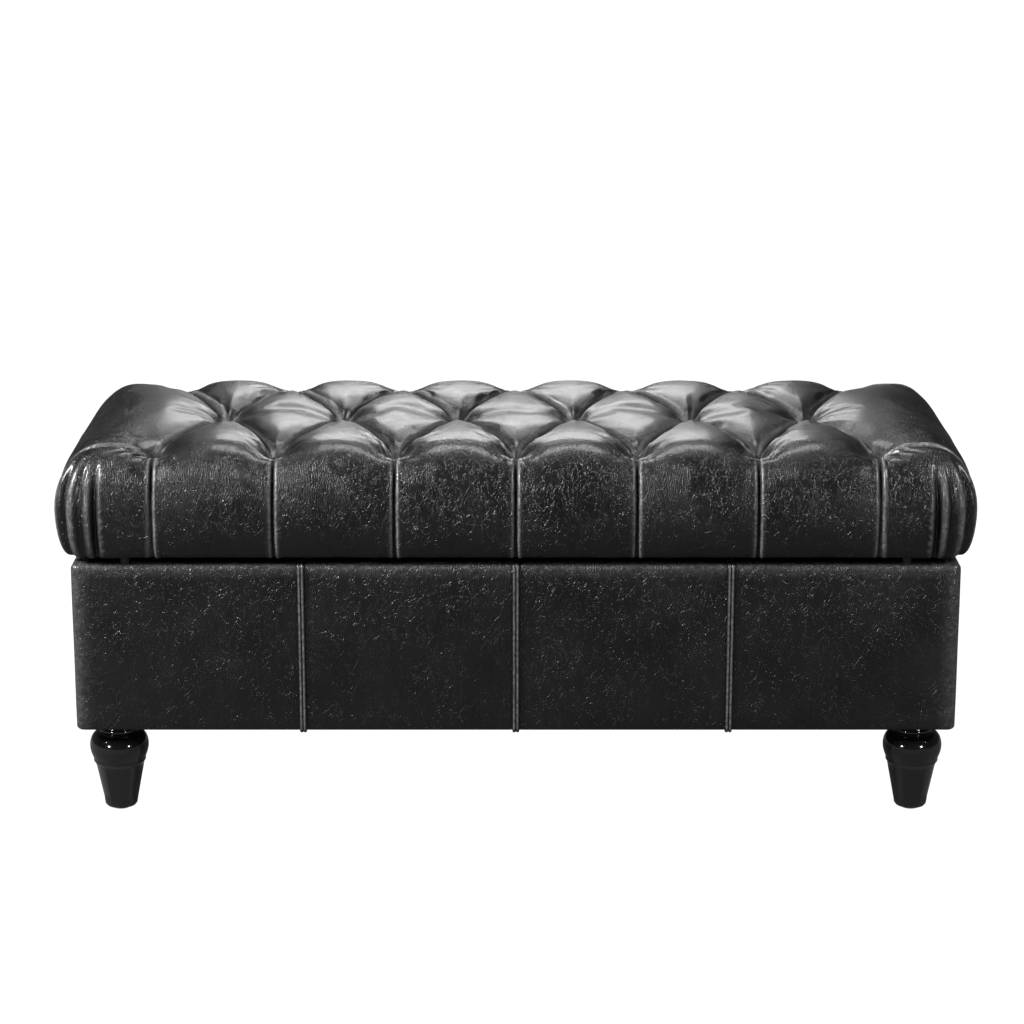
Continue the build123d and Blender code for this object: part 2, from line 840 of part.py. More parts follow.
carcass = make_carcass()
for end_name, end_sign in ends.items():
    make_long_panel(carcass, f"base_panel_{end_name}", end_sign)
    make_cleat(f"floor_cleat_{end_name}", end_sign)
for side_name, side_sign in sides.items():
    make_end_panel(carcass, f"base_panel_{side_name}", side_sign)
make_floor()
make_base_cover()
for welt_name, welt_x in welt_places.items():
    make_welt(f"front_welt_{welt_name}", welt_x)
make_linings()
make_dust_cover()

for corner_name, (leg_x, leg_y) in leg_places.items():
    make_leg_block(corner_name, leg_x, leg_y)
    make_leg(corner_name, leg_x, leg_y)
make_leg_plates()
make_leg_bolts()
make_glides()

lid_fill = make_lid_fill()
make_lid_board()
make_lid_foam()
make_lid_wadding(lid_fill)
make_lid_cover(lid_fill)
make_lid_lining()
for row_name, row_places in button_rows.items():
    make_button_row(row_name, row_places)
make_button_ties()

for side_name, side_sign in sides.items():
    make_hinge(side_name, side_sign)
    make_stay(side_name, side_sign)
make_screws()
make_bumpers()
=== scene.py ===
"""Tufted storage ottoman: leather covers, turned legs, linings and hardware around the fixed frame.

Metres, +Z up, front towards -Y. Sizes and places come from the frame's nodes.
"""

import json
import math

import bmesh
import bpy
import numpy as np
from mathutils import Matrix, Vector, noise


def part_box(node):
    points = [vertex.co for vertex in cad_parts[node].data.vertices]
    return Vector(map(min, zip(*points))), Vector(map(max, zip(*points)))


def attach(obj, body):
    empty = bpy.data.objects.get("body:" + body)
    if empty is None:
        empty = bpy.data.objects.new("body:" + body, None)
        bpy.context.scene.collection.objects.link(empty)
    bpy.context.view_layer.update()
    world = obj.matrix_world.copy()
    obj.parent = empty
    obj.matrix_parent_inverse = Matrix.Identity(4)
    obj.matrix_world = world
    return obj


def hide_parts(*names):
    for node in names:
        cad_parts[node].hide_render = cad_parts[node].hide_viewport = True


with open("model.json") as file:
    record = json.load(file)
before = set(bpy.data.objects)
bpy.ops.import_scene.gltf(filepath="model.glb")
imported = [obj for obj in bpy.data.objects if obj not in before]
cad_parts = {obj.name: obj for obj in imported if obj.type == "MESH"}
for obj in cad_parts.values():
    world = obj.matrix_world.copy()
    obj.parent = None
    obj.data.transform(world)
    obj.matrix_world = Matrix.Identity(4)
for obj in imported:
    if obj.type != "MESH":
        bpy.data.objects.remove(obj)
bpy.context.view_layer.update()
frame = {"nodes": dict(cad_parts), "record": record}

MM = 0.001

# ---- places read from the frame ----
cover_low, cover_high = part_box("lid_cover")
front_row_low, front_row_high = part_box("buttons_front")
end_low, end_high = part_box("base_cover_right")
leg_low, leg_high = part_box("leg_front_right")

# ---- lid sizes ----
button_radius = 12 * MM
pitches_each_side = 3
button_pitch = (front_row_high.x - front_row_low.x - 2 * button_radius) / (2 * pitches_each_side)
row_offset = -(front_row_low.y + front_row_high.y) / 2
lid_bottom = cover_low.z
lid_crest = cover_high.z
lid_half_length = cover_high.x
lid_half_depth = cover_high.y
roll_out = 65 * MM
roll_down = 85 * MM
tuck_in = 16 * MM
turn_under = lid_half_length - tuck_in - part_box("lid_lining")[1].x
corner_squareness = 3.2
corner_folds = 5
fold_depth = 9 * MM
crown_half_length = lid_half_length - roll_out
crown_half_depth = lid_half_depth - roll_out

# tufting
button_depth = 29 * MM
seam_depth = 10 * MM
pleat_depth_at_edge = 10.5 * MM
pleat_depth_at_hem = 3 * MM
tuft_reach = 75 * MM
pleat_reach = 60 * MM
funnel_radius = 25 * MM
seam_fade = 30 * MM
pleat_fade = 22 * MM
lip_at = 4.5 * MM
lip_width = 2.6 * MM
lip_height = 2.8 * MM
crease_depth = 3.4 * MM
crease_width = 2 * MM
pucker_height = 3 * MM
pucker_reach = 22 * MM
pucker_folds = 7
seam_steps = 20
skirt_steps = 44
roll_wrinkles_from = 5 * MM
roll_wrinkles_full = 45 * MM
hem_wrinkles_fade = (60 * MM, 25 * MM)
hem_steps = 4
corner_front_steps = 10
corner_turn_steps = 48

# base covers
base_bottom = end_low.z
base_top = end_high.z
base_half_length = end_high.x
base_half_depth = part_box("base_cover_back")[1].y
base_corner = 11 * MM
top_rounding = 8 * MM
bottom_rounding = 5 * MM
flange_width = base_half_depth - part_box("lining_back")[0].y
leather_thickness = 1.5 * MM
panel_crown = 1.3 * MM
crown_reach = 40 * MM
crown_core = 30 * MM
ripple_height = 0.35 * MM
ripple_size = 38 * MM
base_wrinkles_fade = 55 * MM
# Reach of the painted highlight on the base's rounded corners and along its top rim.
corner_highlight_reach = 16 * MM
rim_highlight_reach = 9 * MM
welt_bead_radius = 2.4 * MM
welt_bead_offset = 2.2 * MM
welt_stands = 1.1 * MM
welt_end_rounding = 1.2 * MM
# Width of the painted highlight along each welt bead's crest.
welt_highlight_width = 1.1 * MM
welt_on_top = 9 * MM
welt_underneath = 9 * MM
welt_stops = (0.02, 0.16, 0.32, 0.32, 0.16, 0.02)
welt_sides = ("left", "centre", "right")
seam_dip = 1.1 * MM
end_seam = end_high.y
base_seam_x = [sum(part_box(f"front_welt_{side}")[n].x for n in (0, 1)) / 2 for side in welt_sides]
base_seam_y = [-end_seam, end_seam]
seam_cuts = (-9 * MM, -4.5 * MM, -2 * MM, 0, 2 * MM, 4.5 * MM, 9 * MM)
inside_x = base_half_length - flange_width
base_stations_long = 44
base_stations_deep = 16
base_stations_high = 12
clear_of_base = 1.0

# legs
leg_sides = 72
flute_count = 6
flute_depth = 1.9 * MM

# stage
floor_seen = 1.02
floor_lit = 0.05
world_lit = 0.035


# ---- small helpers ----
def deselect_all():
    """Nothing stays selected."""
    for thing in bpy.context.selected_objects:
        thing.select_set(False)


def make_active(piece):
    """Only this piece is selected, and it is the active one."""
    deselect_all()
    piece.select_set(True)
    bpy.context.view_layer.objects.active = piece


def apply_modifier(piece, modifier):
    """Makes the modifier's result the piece's mesh."""
    make_active(piece)
    bpy.ops.object.modifier_apply(modifier=modifier.name)


def smooth_shading(piece, degrees=None):
    """Smooth all over, or with edges sharper than the angle kept crisp."""
    make_active(piece)
    if degrees is None:
        bpy.ops.object.shade_smooth()
    else:
        bpy.ops.object.shade_smooth_by_angle(angle=math.radians(degrees))


def mesh_piece(name, points, faces):
    """A new piece from its points and faces."""
    mesh = bpy.data.meshes.new(name)
    mesh.from_pydata([tuple(p) for p in points], [], [tuple(f) for f in faces])
    mesh.update()
    piece = bpy.data.objects.new(name, mesh)
    bpy.context.scene.collection.objects.link(piece)
    return piece


def read_points(piece):
    """The piece's points, one row each."""
    points = np.empty(len(piece.data.vertices) * 3)
    piece.data.vertices.foreach_get("co", points)
    return points.reshape(-1, 3)


def write_points(piece, points):
    """Moves the piece's points to these rows."""
    piece.data.vertices.foreach_set("co", np.asarray(points, dtype=float).ravel())
    piece.data.update()


def store_value(piece, name, values):
    """Keeps a value at each point, for the finish to read."""
    attribute = piece.data.attributes.new(name, "FLOAT", "POINT")
    attribute.data.foreach_set("value", np.asarray(values, dtype=float))


def smooth_step(value, low, high):
    """0 below the range, 1 above it, and a smooth rise between."""
    t = np.clip((value - low) / (high - low), 0, 1)
    return t * t * (3 - 2 * t)


def soft_noise(points, scale, seed=0.0):
    """Smooth noise from -1 to 1 at each point, with features about one scale apart."""
    shift = Vector((seed, seed * 1.7, seed * 2.3))
    return np.array([noise.noise(Vector(p) / scale + shift) for p in points])


# ---- tufted lid cover ----
def edge_profile():
    """The lid's section from the crown's border out, down and under, its lengths, and the hem's place."""
    over = [
        (roll_out * math.sin(a), lid_crest - roll_down * (1 - math.cos(a)))
        for a in np.linspace(0, math.pi / 2, 60)
    ]
    drop = lid_crest - roll_down - lid_bottom
    down = [
        (roll_out - tuck_in * (1 - math.cos(a)), lid_crest - roll_down - drop * math.sin(a))
        for a in np.linspace(0, math.pi / 2, 40)[1:]
    ]
    hem_length = sum(math.dist(a, b) for a, b in zip(over + down, (over + down)[1:]))
    under = [(roll_out - tuck_in - turn_under * t, lid_bottom) for t in np.linspace(0, 1, 6)[1:]]
    outline = np.array(over + down + under)
    lengths = np.concatenate([[0], np.cumsum(np.linalg.norm(np.diff(outline, axis=0), axis=1))])
    return outline, lengths, hem_length


profile, profile_lengths, hem_at = edge_profile()


def past_crown(flat):
    """How far each flat point lies past the crown's border, and which way: sideways and lengthways shares."""
    across = np.maximum(np.abs(flat[:, 0]) - crown_half_length, 0)
    along = np.maximum(np.abs(flat[:, 1]) - crown_half_depth, 0)
    past = np.hypot(across, along)
    safe = np.maximum(past, 1e-9)
    return past, across / safe, along / safe


def corner_stretch(share_x, share_y):
    """How much further out the lid reaches between its straight sides than a quarter circle would."""
    power = corner_squareness
    return 1 / np.maximum((share_x**power + share_y**power) ** (1 / power), 0.5)


def lay_on_lid(flat):
    """Turns points of the flat-laid cover, in x and y, into points on the untufted lid."""
    past, share_x, share_y = past_crown(flat)
    stretch = np.where(past > 0, corner_stretch(share_x, share_y), 1)
    out = np.interp(past, profile_lengths, profile[:, 0]) * stretch
    height = np.interp(past, profile_lengths, profile[:, 1])
    x = np.minimum(np.abs(flat[:, 0]), crown_half_length) + out * share_x
    y = np.minimum(np.abs(flat[:, 1]), crown_half_depth) + out * share_y
    return np.stack([np.sign(flat[:, 0]) * x, np.sign(flat[:, 1]) * y, height], axis=1)


def outward_on_lid(flat):
    """The untufted lid's outward direction at each point of the flat-laid cover."""
    past, share_x, share_y = past_crown(flat)
    step = 0.5 * MM
    ahead = np.stack([np.interp(past + step, profile_lengths, profile[:, i]) for i in (0, 1)], axis=1)
    back = np.maximum(past - step, 0)
    behind = np.stack([np.interp(back, profile_lengths, profile[:, i]) for i in (0, 1)], axis=1)
    run = ahead - behind
    run /= np.maximum(np.linalg.norm(run, axis=1, keepdims=True), 1e-9)
    power = corner_squareness - 1
    lean_x = share_x**power
    lean_y = share_y**power
    lean = np.maximum(np.hypot(lean_x, lean_y), 1e-9)
    sideways = -run[:, 1]
    side_x = np.sign(flat[:, 0]) * lean_x / lean
    side_y = np.sign(flat[:, 1]) * lean_y / lean
    return np.stack([side_x * sideways, side_y * sideways, run[:, 0]], axis=1)


long_row = range(-pitches_each_side, pitches_each_side + 1)
front_buttons = [(n * button_pitch, -row_offset) for n in long_row]
middle_buttons = [((n + 0.5) * button_pitch, 0.0) for n in long_row[:-1]]
back_buttons = [(n * button_pitch, row_offset) for n in long_row]
row_end = pitches_each_side * button_pitch
all_buttons = np.array(front_buttons + middle_buttons + back_buttons)
hem_x = crown_half_length + hem_at
hem_y = crown_half_depth + hem_at
inner_hem_x = hem_x + turn_under
inner_hem_y = hem_y + turn_under


def cover_seams():
    """The sewn lines of the flat-laid cover: each with its start, its end and whether it is a skirt pleat."""
    seams = []
    for middle in middle_buttons:
        for row in (front_buttons, back_buttons):
            for button in row:
                if abs(abs(button[0] - middle[0]) - button_pitch / 2) < 1 * MM:
                    seams.append((button, middle, False))
    for button in front_buttons:
        seams.append((button, (button[0], -inner_hem_y), True))
    for button in back_buttons:
        seams.append((button, (button[0], inner_hem_y), True))
    for side in (-1, 1):
        for row in (-row_offset, row_offset):
            seams.append(((side * row_end, row), (side * inner_hem_x, row), True))
    return seams


def seam_spacing():
    """Positions from 0 to 1 along a seam, closer together at both ends, where the leather creases."""
    even = np.arange(seam_steps + 1) / seam_steps
    return 0.6 * (0.5 - 0.5 * np.cos(math.pi * even)) + 0.4 * even


def rows_to_hem(start, stop_hem, stop_inner):
    """Positions from 0 to 1 along a column: even down to the hem, then a few more under the lid."""
    length = np.linalg.norm(np.subtract(stop_inner, start))
    hem = np.linalg.norm(np.subtract(stop_hem, start)) / length
    return np.concatenate(
        [np.linspace(0, hem, skirt_steps + 1), np.linspace(hem, 1, hem_steps + 1)[1:]]
    )


def skirt_patch(starts, hems, inners):
    """A flat grid of columns from the rolls' start to the hem and on under the lid."""
    columns = []
    for start, hem, inner in zip(starts, hems, inners):
        t = rows_to_hem(start, hem, inner)[:, None]
        columns.append(np.asarray(start) + (np.asarray(inner) - np.asarray(start)) * t)
    return np.array(columns)


def cover_patches():
    """All the panels of the cover, laid flat: diamonds, front and back rolls, end panels and corners."""
    patches = []
    half_pitch = button_pitch / 2
    spacing = seam_spacing()
    for n in long_row[1:-1]:
        start = np.array([n * button_pitch, -row_offset])
        right = np.array([half_pitch, row_offset])
        left = np.array([-half_pitch, row_offset])
        patches.append(start + spacing[:, None, None] * right + spacing[None, :, None] * left)
    along = np.concatenate([spacing, 2 - spacing[-2::-1]]) / 2
    zigzag = 1 - np.abs(2 * along - 1)
    for side in (-1, 1):
        for n in long_row[:-1]:
            x = (n + along) * button_pitch
            starts = np.stack([x, side * row_offset * (1 - zigzag)], axis=1)
            hems = [(value, side * hem_y) for value in x]
            inners = [(value, side * inner_hem_y) for value in x]
            patches.append(skirt_patch(starts, hems, inners))
        y = -row_offset + 2 * row_offset * along
        starts = np.stack([side * (row_end - half_pitch * zigzag), y], axis=1)
        hems = [(side * hem_x, value) for value in y]
        inners = [(side * inner_hem_x, value) for value in y]
        patches.append(skirt_patch(starts, hems, inners))
    return patches + corner_patches()


def corner_patches():
    """The four corner panels, each a fan from its button to the hem round the corner."""
    patches = []
    turn = np.linspace(0, math.pi / 2, corner_turn_steps + 1)[1:-1]

    def rim(reach):
        """The panel's outer points, this far past the crown."""
        front_x = np.linspace(row_end, crown_half_length, corner_front_steps)
        front = [(x, crown_half_depth + reach) for x in front_x]
        round_it = [
            (crown_half_length + reach * math.sin(a), crown_half_depth + reach * math.cos(a)) for a in turn
        ]
        end = [(crown_half_length + reach, y) for y in np.linspace(crown_half_depth, row_offset, 3)]
        return np.array(front + round_it + end)

    hem = rim(hem_at)
    inner = rim(hem_at + turn_under)
    start = np.array([row_end, row_offset])
    for side_x in (-1, 1):
        for side_y in (-1, 1):
            sign = np.array([side_x, side_y])
            patches.append(skirt_patch([start * sign] * len(hem), hem * sign, inner * sign))
    return patches


def join_patches(patches):
    """One mesh from the flat grids, with the points that neighbouring grids share merged."""
    index = {}
    flat = []
    faces = []
    for grid in patches:
        numbers = np.empty(grid.shape[:2], dtype=int)
        for i in range(grid.shape[0]):
            for j in range(grid.shape[1]):
                key = (round(float(grid[i, j, 0]) * 1e6), round(float(grid[i, j, 1]) * 1e6))
                if key not in index:
                    index[key] = len(flat)
                    flat.append(grid[i, j])
                numbers[i, j] = index[key]
        for i in range(grid.shape[0] - 1):
            for j in range(grid.shape[1] - 1):
                corners = [numbers[i, j], numbers[i + 1, j], numbers[i + 1, j + 1], numbers[i, j + 1]]
                ring = list(dict.fromkeys(int(c) for c in corners))
                if len(ring) > 2:
                    faces.append(ring)
    return np.array(flat), faces


def seam_distances(flat, seams):
    """For each flat point: distance to its nearest seam, the valley's depth, and how much lip it has."""
    best = np.full(len(flat), 1e9)
    lipped = np.zeros(len(flat))
    valley = np.zeros(len(flat))
    for start, stop, is_pleat in seams:
        start = np.array(start)
        run = np.array(stop) - start
        length = np.linalg.norm(run)
        run /= length
        offset = flat - start
        at = np.clip(offset @ run, 0, length)
        distance = np.linalg.norm(offset - at[:, None] * run, axis=1)
        if is_pleat:
            down = smooth_step(at, 0, length - turn_under)
            far = pleat_depth_at_edge + (pleat_depth_at_hem - pleat_depth_at_edge) * down
            here = far + (button_depth * 0.7 - far) * np.exp(-at / pleat_fade)
            reach = pleat_reach
        else:
            from_button = np.minimum(at, length - at)
            here = seam_depth + (button_depth - seam_depth) * np.exp(-from_button / seam_fade)
            reach = tuft_reach
        rise = np.clip(1 - distance / reach, 0, 1)
        valley = np.maximum(valley, here * (1 - np.sqrt(np.maximum(1 - rise**2, 0))))
        closer = distance < best
        best = np.where(closer, distance, best)
        on_left = (run[0] * offset[:, 1] - run[1] * offset[:, 0] > 0).astype(float)
        share = 0.55 + 0.45 * on_left if is_pleat else on_left
        lipped = np.where(closer, share, lipped)
    return best, valley, lipped


def puckers(flat, to_button, nearest):
    """Small folds that fan out from each button, different at every one."""
    offset = flat - all_buttons[nearest]
    angle = np.arctan2(offset[:, 1], offset[:, 0])
    turn = nearest * 2.1
    swing = pucker_folds * angle + 0.5 * turn + 0.9 * np.sin(2 * angle + turn)
    fan = 2 * np.abs(np.sin(swing)) ** 0.8 - 1
    fade = np.exp(-np.maximum(to_button - 14 * MM, 0) / pucker_reach)
    return fan * (fade * smooth_step(to_button, 8 * MM, 20 * MM)) * pucker_height


def tuft(flat):
    """The tufted shape: pillows, funnels at the buttons, and creases and folded lips on the seams, with a
    mask for the highlight painted along the lips.
    """
    distance, valley, lipped = seam_distances(flat, cover_seams())
    gaps = np.linalg.norm(flat[:, None, :] - all_buttons[None], axis=2)
    nearest = np.argmin(gaps, axis=1)
    to_button = gaps[np.arange(len(flat)), nearest]
    funnel = button_depth * np.exp(-((to_button / funnel_radius) ** 1.5))
    past = past_crown(flat)[0]
    off_button = smooth_step(to_button, 12 * MM, 30 * MM)
    crease = crease_depth * np.exp(-((distance / crease_width) ** 2)) * off_button
    lip = lip_height * np.exp(-(((distance - lip_at) / lip_width) ** 2)) * lipped * off_button
    sunk = np.minimum((valley**3 + funnel**3) ** (1 / 3), button_depth)
    sunk += crease - lip - puckers(flat, to_button, nearest)
    flatten = 1 - smooth_step(past, hem_at - 5 * MM, hem_at + 4 * MM)
    points = lay_on_lid(flat) - outward_on_lid(flat) * (sunk * flatten)[:, None]
    # Painted highlight: a lighter line along each folded lip, where the lip would catch the light.
    painted_highlight = np.exp(-(((distance - lip_at) / (0.7 * lip_width)) ** 2)) * (0.3 + 0.7 * lipped)
    painted_highlight *= smooth_step(to_button, 8 * MM, 22 * MM) * flatten
    return points, distance, to_button, past, painted_highlight


def gather_corners(points, flat):
    """Draws the corners' spare leather into upright folds that open out towards the hem, with a mask for the
    highlight painted on the fold ridges.
    """
    past, share_x, share_y = past_crown(flat)
    inside = (share_x > 0) & (share_y > 0)
    around = np.arctan2(share_x, share_y) / (math.pi / 2)
    spread = around + 0.035 * np.sin(2 * math.pi * around)
    wave = 0.5 - 0.5 * np.cos(2 * math.pi * corner_folds * spread)
    folds = wave**2.4 + 0.25 * wave**0.8 * np.sin(5 * math.pi * around + 1)
    down = smooth_step(past, 30 * MM, 90 * MM) * (1 - 0.45 * smooth_step(past, hem_at - 55 * MM, hem_at))
    fade = 1 - smooth_step(past, hem_at - 4 * MM, hem_at + 3 * MM)
    edges = smooth_step(around, 0, 0.06) * smooth_step(1 - around, 0, 0.06)
    sunk = np.where(inside, folds * down * fade * edges * fold_depth, 0)
    # Painted highlight on the ridges between the corner folds.
    painted_highlight = np.where(inside, (1 - wave) ** 5 * down * fade, 0)
    return points - outward_on_lid(flat) * sunk[:, None], painted_highlight


def settle_leather(piece, pinned, cap, pressure, slack, frames=20):
    """Blows the leather up against its seams with Cloth, caps how far it moves, and keeps the result."""
    before = read_points(piece)
    group = piece.vertex_groups.new(name="sewn")
    for number, weight in enumerate(pinned):
        if weight > 0:
            group.add([number], float(weight), "REPLACE")
    cloth = piece.modifiers.new("leather", "CLOTH")
    settings = cloth.settings
    settings.quality = 4
    settings.mass = 0.4
    settings.tension_stiffness = 20
    settings.compression_stiffness = 20
    settings.shear_stiffness = 8
    settings.bending_stiffness = 2.5
    settings.air_damping = 3
    settings.effector_weights.gravity = 0
    settings.use_pressure = True
    settings.uniform_pressure_force = pressure
    settings.shrink_min = -slack
    settings.vertex_group_mass = "sewn"
    settings.pin_stiffness = 10
    cloth.collision_settings.use_collision = False
    cloth.collision_settings.use_self_collision = False
    cloth.point_cache.frame_start = 1
    cloth.point_cache.frame_end = frames
    for number in range(1, frames + 1):
        bpy.context.scene.frame_set(number)
    make_active(piece)
    bpy.ops.object.modifier_apply(modifier=cloth.name)
    bpy.context.scene.frame_set(1)
    after = read_points(piece)
    moved = after - before
    size = np.linalg.norm(moved, axis=1, keepdims=True)
    write_points(piece, before + moved * np.minimum(1, cap / np.maximum(size, 1e-9)))
    piece.vertex_groups.clear()


def make_lid_cover():
    """The tufted leather cover of the lid."""
    flat, faces = join_patches(cover_patches())
    points, distance, to_button, past, painted_lip_highlight = tuft(flat)
    points, painted_fold_highlight = gather_corners(points, flat)
    cover = mesh_piece("tufted_lid_cover", points, faces)
    edit = bmesh.new()
    edit.from_mesh(cover.data)
    bmesh.ops.recalc_face_normals(edit, faces=edit.faces)
    top = max(edit.faces, key=lambda face: face.calc_center_median().z)
    if top.normal.z < 0:
        bmesh.ops.reverse_faces(edit, faces=edit.faces)
    edit.to_mesh(cover.data)
    edit.free()
    held = np.maximum.reduce(
        [
            (distance < 0.5 * MM).astype(float),
            1 - smooth_step(to_button, 8 * MM, 16 * MM),
            smooth_step(past, hem_at - 4 * MM, hem_at),
        ]
    )
    settle_leather(cover, held, cap=6 * MM, pressure=4, slack=0.006)
    calm = smooth_step(past, hem_at - hem_wrinkles_fade[0], hem_at - hem_wrinkles_fade[1])
    rolls = smooth_step(past, roll_wrinkles_from, roll_wrinkles_full) * (1 - 0.8 * calm)
    store_value(cover, "wrinkled", 0.5 + 0.5 * rolls)
    # Painted highlight along the seam lips and the corner fold ridges, kept at each point for the finish.
    store_value(cover, "painted_edge_highlight", np.maximum(painted_lip_highlight, 0.8 * painted_fold_highlight))
    finer = cover.modifiers.new("finer", "SUBSURF")
    finer.levels = 1
    finer.render_levels = 1
    apply_modifier(cover, finer)
    smooth_shading(cover)
    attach(cover, "lid")
    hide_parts("lid_cover", "lid_wadding", "lid_foam")
    return cover


# ---- base covers ----
def pick_faces(piece, test):
    """In edit mode, selects the faces whose centre and normal pass the test, and nothing else."""
    bpy.ops.mesh.select_mode(type="FACE")
    bpy.ops.mesh.select_all(action="DESELECT")
    edit = bmesh.from_edit_mesh(piece.data)
    for face in edit.faces:
        face.select_set(bool(test(face.calc_center_median(), face.normal)))
    bmesh.update_edit_mesh(piece.data)


def pick_edges(piece, test):
    """In edit mode, selects the edges whose two ends pass the test, and nothing else."""
    bpy.ops.mesh.select_mode(type="EDGE")
    bpy.ops.mesh.select_all(action="DESELECT")
    edit = bmesh.from_edit_mesh(piece.data)
    for edge in edit.edges:
        edge.select_set(bool(test(edge.verts[0].co, edge.verts[1].co)))
    bmesh.update_edit_mesh(piece.data)


def open_edit(piece):
    """Edit mode on this piece alone."""
    make_active(piece)
    bpy.ops.object.mode_set(mode="EDIT")


def close_edit():
    """Back to object mode."""
    bpy.ops.object.mode_set(mode="OBJECT")


def settle_place(piece):
    """Puts the piece's place and size into its mesh."""
    make_active(piece)
    bpy.ops.object.transform_apply(location=True, rotation=True, scale=True)


def copy_of(piece, name):
    """A copy with its own mesh."""
    copy = piece.copy()
    copy.data = piece.data.copy()
    copy.name = name
    copy.data.name = name
    bpy.context.scene.collection.objects.link(copy)
    return copy


def make_base_shell():
    """The leather skin of the base before it is cut at the seams: a rounded box, open inside the flanges."""
    deselect_all()
    bpy.ops.mesh.primitive_cube_add(
        size=1,
        location=(0, 0, (base_bottom + base_top) / 2),
        scale=(2 * base_half_length, 2 * base_half_depth, base_top - base_bottom),
    )
    shell = bpy.context.active_object
    settle_place(shell)
    open_edit(shell)
    pick_edges(shell, lambda a, b: abs(a.z - b.z) > 1 * MM)
    bpy.ops.mesh.bevel(offset=base_corner, segments=6)
    for height, rounding, steps in ((base_top, top_rounding, 5), (base_bottom, bottom_rounding, 4)):
        pick_edges(shell, lambda a, b: abs(a.z - height) < 0.1 * MM and abs(b.z - height) < 0.1 * MM)
        bpy.ops.mesh.bevel(offset=rounding, segments=steps)
    for x in np.linspace(-base_half_length, base_half_length, base_stations_long + 1)[1:-1]:
        cut_through((x, 0, 0), (1, 0, 0))
    for y in np.linspace(-base_half_depth, base_half_depth, base_stations_deep + 1)[1:-1]:
        cut_through((0, y, 0), (0, 1, 0))
    for z in np.linspace(base_bottom, base_top, base_stations_high + 1)[1:-1]:
        cut_through((0, 0, z), (0, 0, 1))
    for x in [*base_seam_x, -inside_x, inside_x]:
        for beside in seam_cuts:
            cut_through((x + beside, 0, 0), (1, 0, 0))
    for y in base_seam_y:
        for beside in seam_cuts:
            cut_through((0, y + beside, 0), (0, 1, 0))
    pick_faces(
        shell,
        lambda centre, normal: abs(normal.z) > 0.99 and abs(centre.x) < inside_x and abs(centre.y) < end_seam,
    )
    bpy.ops.mesh.delete(type="FACE")
    close_edit()
    return shell


def cut_through(place, normal, clear_outer=False, clear_inner=False):
    """In edit mode, cuts the whole mesh at a plane, and clears one side if asked."""
    bpy.ops.mesh.select_all(action="SELECT")
    bpy.ops.mesh.bisect(
        plane_co=place, plane_no=normal, clear_outer=clear_outer, clear_inner=clear_inner, threshold=0.00001
    )


def crown_panel(points):
    """Pads a panel out a little between its seams and draws the leather in at each seam."""
    x, y, z = points.T
    up = np.clip((z - base_bottom) / (base_top - base_bottom), 0, 1)
    upright = np.sin(math.pi * up) ** 0.5
    seam = np.full(len(points), 1e9)
    for line in base_seam_x:
        seam = np.where(y < 0, np.minimum(seam, np.abs(x - line)), seam)
    for line in base_seam_y:
        seam = np.minimum(seam, np.abs(y - line))
    full = 1 - np.exp(-((seam / crown_reach) ** 1.2))
    ripple = soft_noise(points * np.array([1, 1, 0.45]), ripple_size, seed=3.1)
    raised = panel_crown * full * upright + ripple_height * ripple * upright
    sunk = seam_dip * np.exp(-((seam / (3 * MM)) ** 2))
    middle_x = np.clip(x, -base_half_length + crown_core, base_half_length - crown_core)
    middle_y = np.clip(y, -base_half_depth + crown_core, base_half_depth - crown_core)
    middle_z = np.clip(z, base_bottom + crown_core, base_top - crown_core)
    away = points - np.stack([middle_x, middle_y, middle_z], axis=1)
    flat_side = np.abs(away) > crown_core - 0.1 * MM
    away = np.where(flat_side.any(axis=1, keepdims=True), np.where(flat_side, away, away * 0.4), away)
    away /= np.maximum(np.linalg.norm(away, axis=1, keepdims=True), 1e-9)
    return points + away * (raised - sunk)[:, None]


def make_base_piece(shell, place, low, high, wide):
    """One cut piece of the base's leather, between two corners given as x and y."""
    piece = copy_of(shell, f"base_leather_{place}")
    open_edit(piece)
    cut_through((low[0], 0, 0), (1, 0, 0), clear_inner=True)
    cut_through((high[0], 0, 0), (1, 0, 0), clear_outer=True)
    cut_through((0, low[1], 0), (0, 1, 0), clear_inner=True)
    cut_through((0, high[1], 0), (0, 1, 0), clear_outer=True)
    close_edit()
    points = read_points(piece)
    below_top = base_top - points[:, 2]
    from_end = base_half_length - np.abs(points[:, 0])
    from_side = base_half_depth - np.abs(points[:, 1])
    from_corner = np.hypot(from_end, from_side)
    write_points(piece, crown_panel(points))
    store_value(piece, "wrinkled", 0.35 + 1.1 * np.exp(-below_top / base_wrinkles_fade))
    # Painted highlight along the base's top rim and rounded corners.
    rim = np.exp(-((below_top / rim_highlight_reach) ** 2))
    corner = np.exp(-((from_corner / corner_highlight_reach) ** 2))
    store_value(piece, "painted_edge_highlight", 0.35 * np.maximum(corner, rim))
    wall = piece.modifiers.new("leather", "SOLIDIFY")
    wall.thickness = leather_thickness
    wall.offset = -1
    apply_modifier(piece, wall)
    smooth_shading(piece, 40)
    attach(piece, "base")
    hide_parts(f"base_cover_{place}")
    return piece


